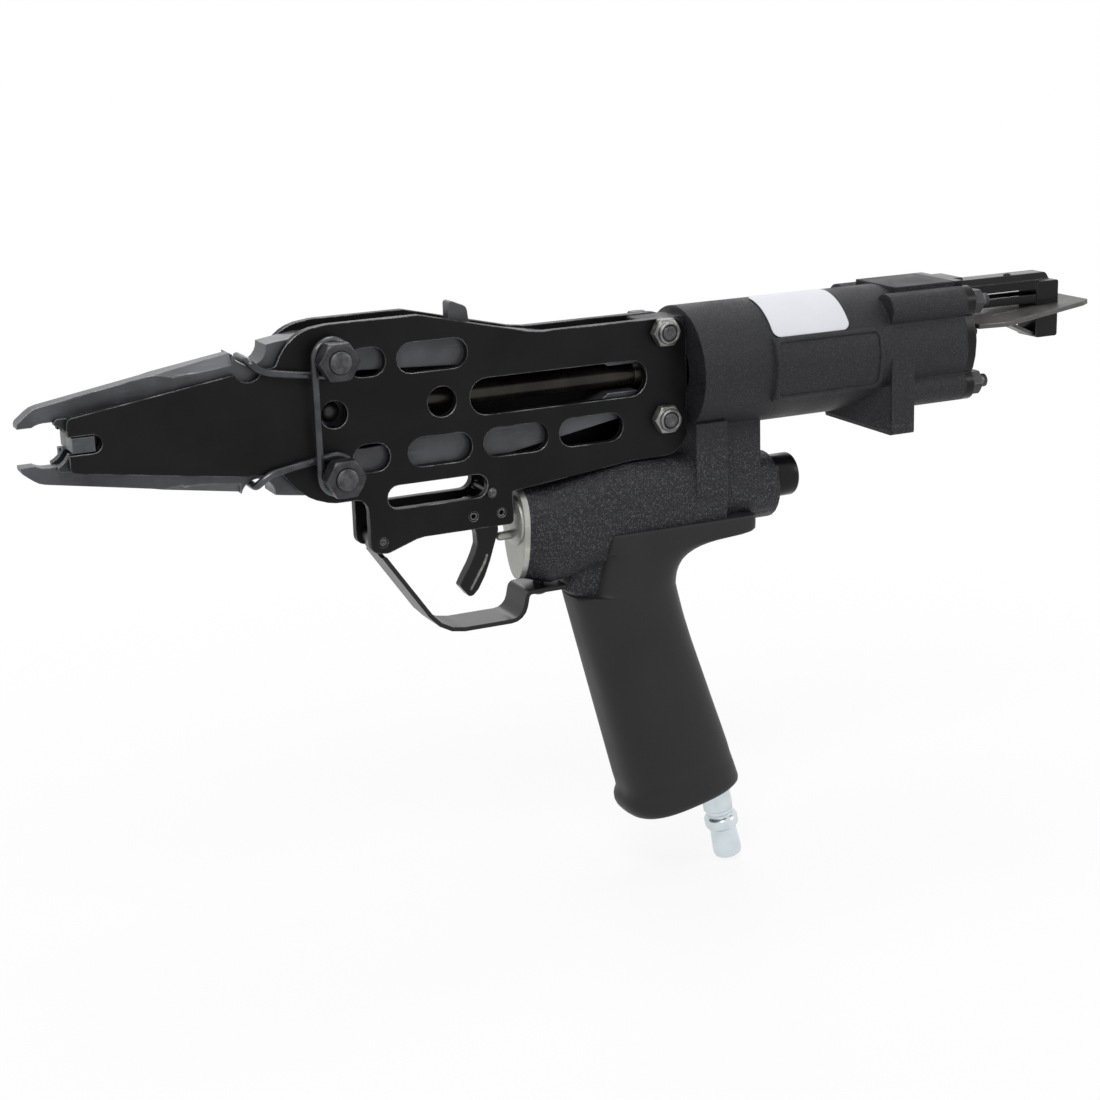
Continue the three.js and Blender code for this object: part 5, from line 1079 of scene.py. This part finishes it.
class HOGRING_OT_plug(Operator):
    """The air plug: hexagon, collar and tapered nose with a round end"""

    bl_idname = "hogring.plug"
    bl_label = "Air plug"

    FOOT = np.array([-113.3, 0.0, -165.05])
    HEX_LOW, HEX_HIGH = -18.0, -4.3
    ACROSS, BORE = 11.6, 4.6
    # The shank inside the grip, down to the hexagon's end: height and radius
    SHANK = [[6.9, 0.0], [6.9, 4.6], [-4.5, 4.6], [-4.5, 4.5]]
    # From inside the hexagon's lower end down to the nose: height from the collar, and radius
    COLLAR_Z = -24.0
    COLLAR = np.array([
        [6.1, 4.5], [6.1, 5.6], [4.4, 5.6], [4.0, 5.2], [3.2, 5.2], [2.6, 6.3], [1.8, 6.8],
        [-1.0, 6.8], [-1.7, 6.5], [-1.9, 6.0], [-2.7, 5.45], [-4.5, 5.35], [-8.0, 5.6],
        [-12.0, 5.85], [-13.6, 5.8], [-14.7, 5.4], [-15.3, 4.6], [-15.5, 3.7], [-15.5, 3.0],
        [-13.5, 2.8], [-13.5, 0.0]])

    def execute(self, context):
        """A nut and one profile turned about an upright line, then leant and set under the grip."""
        shell = Shell().nut(self.HEX_LOW, self.HEX_HIGH, self.ACROSS, self.BORE)
        shell.lathe([*self.SHANK, *(self.COLLAR + [self.COLLAR_Z, 0.0])])
        turn = np.array(Matrix.Rotation(-HANDLE_LEAN, 3, "Y"))
        shell.points = [points @ turn.T + self.FOOT for points in shell.points]
        shell.detail("air_plug", "plug_nickel")
        return {"FINISHED"}


class HOGRING_OT_valve(Operator):
    """Valve cap, stem and exhaust knob"""

    bl_idname = "hogring.valve"
    bl_label = "Valve and exhaust"

    CREASE = 30.0
    CAP_FRONT = -196.05
    BOSS_Z = -50.2
    BOSS_RADIUS = 9.5
    PIN_RADIUS = 1.7
    KNOB_LENGTH = 11.7
    # The knob's neck and grooved front: distance behind its face, and radius
    KNOB_FRONT = np.array([[0.3, 6.0], [0.3, 7.9], [0.7, 8.4], [1.6, 8.5], [2.0, 8.25], [2.4, 8.5]])

    def execute(self, context):
        self.cap_plate()
        self.boss()
        self.stem()
        self.knob()
        return {"FINISHED"}

    def cap_plate(self):
        """The cap's own solid cut off flat in front."""
        cap = refined("valve_cap", "valve_cap_plate", "cap_silver", "frame", self.CREASE)
        with reworked(cap.data) as shaped:
            everything = shaped.verts[:] + shaped.edges[:] + shaped.faces[:]
            rim = bmesh.ops.bisect_plane(shaped, geom=everything, clear_outer=True,
                                         plane_co=(self.CAP_FRONT * MM, 0, 0),
                                         plane_no=(-1, 0, 0))["geom_cut"]
            edges = [item for item in rim if isinstance(item, bmesh.types.BMEdge)]
            bmesh.ops.triangle_fill(shaped, edges=edges, use_beauty=True)
            bmesh.ops.recalc_face_normals(shaped, faces=shaped.faces)
        cap.data.set_sharp_from_angle(angle=math.radians(self.CREASE))

    def boss(self):
        """A low round boss whose face bows out as the root of one less the radius squared."""
        front, radius = self.CAP_FRONT, self.BOSS_RADIUS
        out = np.linspace(0, 1, 12)
        face = np.stack([front - 0.9 - 1.1 * np.sqrt(1 - out ** 2), radius * out * 0.94], axis=1)
        profile = [*face, [front - 0.7, radius * 0.985], [front - 0.4, radius],
                   [front + 0.3, radius], [front + 0.3, 0.0]]
        Shell("X", (0.0, 0.0, self.BOSS_Z)).lathe(profile, 96).build("valve_boss", "cap_silver")

    def stem(self):
        """A slim pushed pin with a round nose: a quarter circle turned into a straight shank."""
        low, high, centre = box_of("valve_stem")
        pin, end = self.PIN_RADIUS, high[0]
        profile = [*dome(low[0], -pin, pin, 7)[::-1], [end - 0.3, pin], [end, pin - 0.3],
                   [end, 0.0]]
        Shell("X", centre).lathe(profile, 40).build("valve_stem_pin", "cap_silver", "valve_stem",
                                                    ["valve_stem"])

    def knob(self):
        """A round knob with a groove behind its face, a quarter-round rim and a dished end."""
        low, high, centre = box_of("exhaust_knob")
        end = high[0]
        profile = [[low[0], 0.0], [low[0], 6.0], *(self.KNOB_FRONT + [end - self.KNOB_LENGTH, 0.0]),
                   *dome(end, 1.3, 1.3, 7, 7.2), [end, 5.6], [end - 0.5, 5.2], [end - 0.5, 0.0]]
        Shell("X", centre).lathe(profile, 96).detail("exhaust_knob", "gloss_black")


class HOGRING_OT_trigger(Operator):
    """Trigger with two raised beads whose bright finish paints the highlight along its grooves, and
    the guard strap
    """

    bl_idname = "hogring.trigger"
    bl_label = "Trigger and guard"

    CREASE = 30.0
    GLINT_BEAD_CREASE = 60.0
    PIN = np.array([-216.0, 0.0, -44.0])
    # A bead of painted highlight: its line in the trigger's plane, from its pin, and how far each
    # stands to its side
    RIB = np.array([[7.6, 0, -17.4], [6.6, 0, -20.0], [3.8, 0, -24.6], [0.6, 0, -29.6]])
    GLINT_BEAD_OFFSET = 2.15
    GLINT_BEAD_RADIUS = 0.62
    PATH_STEP, PATH_BEND = 0.3, 1.6

    def execute(self, context):
        """Each bead of painted highlight is a circle carried along its softened line."""
        refined("trigger", "trigger_skin", "gloss_black", "trigger", self.CREASE)
        strap = refined("guard_strap", "guard_skin", "gloss_black", "frame", self.CREASE)
        strap.data.materials[0] = material_for("strap_black")
        for side, name in zip((-1, 1), SIDES):
            line = self.RIB + self.PIN + np.array([0, side * self.GLINT_BEAD_OFFSET, 0])
            path = softened(line, self.PATH_STEP, self.PATH_BEND)
            # The beads take the pale zinc finish so that they show as painted highlights along the
            # grooves
            wire(path, self.GLINT_BEAD_RADIUS, 12).build("trigger_rib_" + name, "lock_nut_zinc",
                                                  "trigger", (), self.GLINT_BEAD_CREASE)
        return {"FINISHED"}


class HOGRING_OT_rear_end(Operator):
    """End cap, gasket, magazine rail, follower and loading gate"""

    bl_idname = "hogring.rear_end"
    bl_label = "Rear end"

    # Node, piece, finish and body
    PARTS = (
        ("end_cap", "end_cap_skin", "gloss_black", "frame"),
        ("end_gasket", "gasket_skin", "seal_black", "frame"),
        ("magazine_rail", "rail_skin", "gloss_black", "frame"),
        ("ring_follower", "follower_skin", "spring_steel", "follower"),
        ("gate_plate", "gate_plate_skin", "gate_steel", "gate"),
        ("gate_block", "gate_block_skin", "gloss_black", "gate"),
        ("gate_brace", "gate_brace_skin", "gate_steel", "gate"),
    )
    BUTTON = (26.0, -2.0, 0.0)
    BUTTON_RADIUS = 1.6
    BUTTON_RISE = 0.9

    def execute(self, context):
        """The rail's button is a quarter ellipse on a short shank, turned about Z."""
        for row in self.PARTS:
            refined(*row)
        top = box_of("magazine_rail")[1][2]
        foot, radius = top - 0.6, self.BUTTON_RADIUS
        crown = dome(top - 0.05 + self.BUTTON_RISE, self.BUTTON_RISE, radius, 8)
        Shell("Z", self.BUTTON).lathe([[foot, 0.0], [foot, radius], *crown], 40).build(
            "rail_button", "gloss_black")
        return {"FINISHED"}


class HOGRING_OT_label(Operator):
    """The bare white label with its round corners"""

    bl_idname = "hogring.label"
    bl_label = "Label"

    BARREL_RADIUS = 24.3
    SPAN = math.radians(62)
    RINGS = 16

    def execute(self, context):
        """Rounded boxes shrinking to the middle, laid on the barrel: out along the underside,
        up the film's edge and back along the top. A point's angle is its arc over the radius."""
        low, high, centre = box_of("label")
        film = size_of("label_film")
        outline = rounded_box((high[0] - low[0]) / 2, self.SPAN / 2 * self.BARREL_RADIUS,
                              size_of("label_corner"))
        out = np.linspace(0.02, 1, self.RINGS)
        scale = np.concatenate([out, [1.0, 0.996], out[-2::-1]])
        height = np.repeat([0.0, film * 0.6, film], [self.RINGS, 1, self.RINGS])
        rings = outline[None] * scale[:, None, None]
        away = self.BARREL_RADIUS + height[:, None]
        angle = self.SPAN / 2 + rings[..., 1] / self.BARREL_RADIUS
        points = np.stack([centre[0] + rings[..., 0], -away * np.sin(angle),
                           away * np.cos(angle)], axis=-1)
        Shell().grid(points).build("label_film", "label_white", "frame", ["label"])
        return {"FINISHED"}


OPERATORS = (
    HOGRING_OT_stage, HOGRING_OT_inside, HOGRING_OT_plates, HOGRING_OT_jaws, HOGRING_OT_fasteners,
    HOGRING_OT_springs, HOGRING_OT_casting, HOGRING_OT_grip, HOGRING_OT_plug, HOGRING_OT_valve,
    HOGRING_OT_trigger, HOGRING_OT_rear_end, HOGRING_OT_label,
)


class HOGRING_PT_panel(Panel):
    """Lists the tool's operators, sizes and colours"""

    bl_label = "Hog ring tool"
    bl_idname = "HOGRING_PT_panel"
    bl_space_type = "VIEW_3D"
    bl_region_type = "UI"
    bl_category = "Hog ring tool"

    def draw(self, context):
        layout = self.layout
        for operator in OPERATORS:
            layout.operator(operator.bl_idname)
        for group in (context.scene.tool_sizes, context.scene.tool_colours):
            for key in group.bl_rna.properties.keys():
                if key not in {"rna_type", "name"}:
                    layout.prop(group, key)


CLASSES = (ToolColours, ToolSizes, *OPERATORS, HOGRING_PT_panel)


def register():
    for item in CLASSES:
        bpy.utils.register_class(item)
    Scene.tool_colours = PointerProperty(type=ToolColours)
    Scene.tool_sizes = PointerProperty(type=ToolSizes)


def unregister():
    del Scene.tool_sizes
    del Scene.tool_colours
    for item in reversed(CLASSES):
        bpy.utils.unregister_class(item)


def main():
    register()
    for operator in OPERATORS:
        group, call = operator.bl_idname.split(".")
        getattr(getattr(bpy.ops, group), call)()


if __name__ == "__main__":
    main()
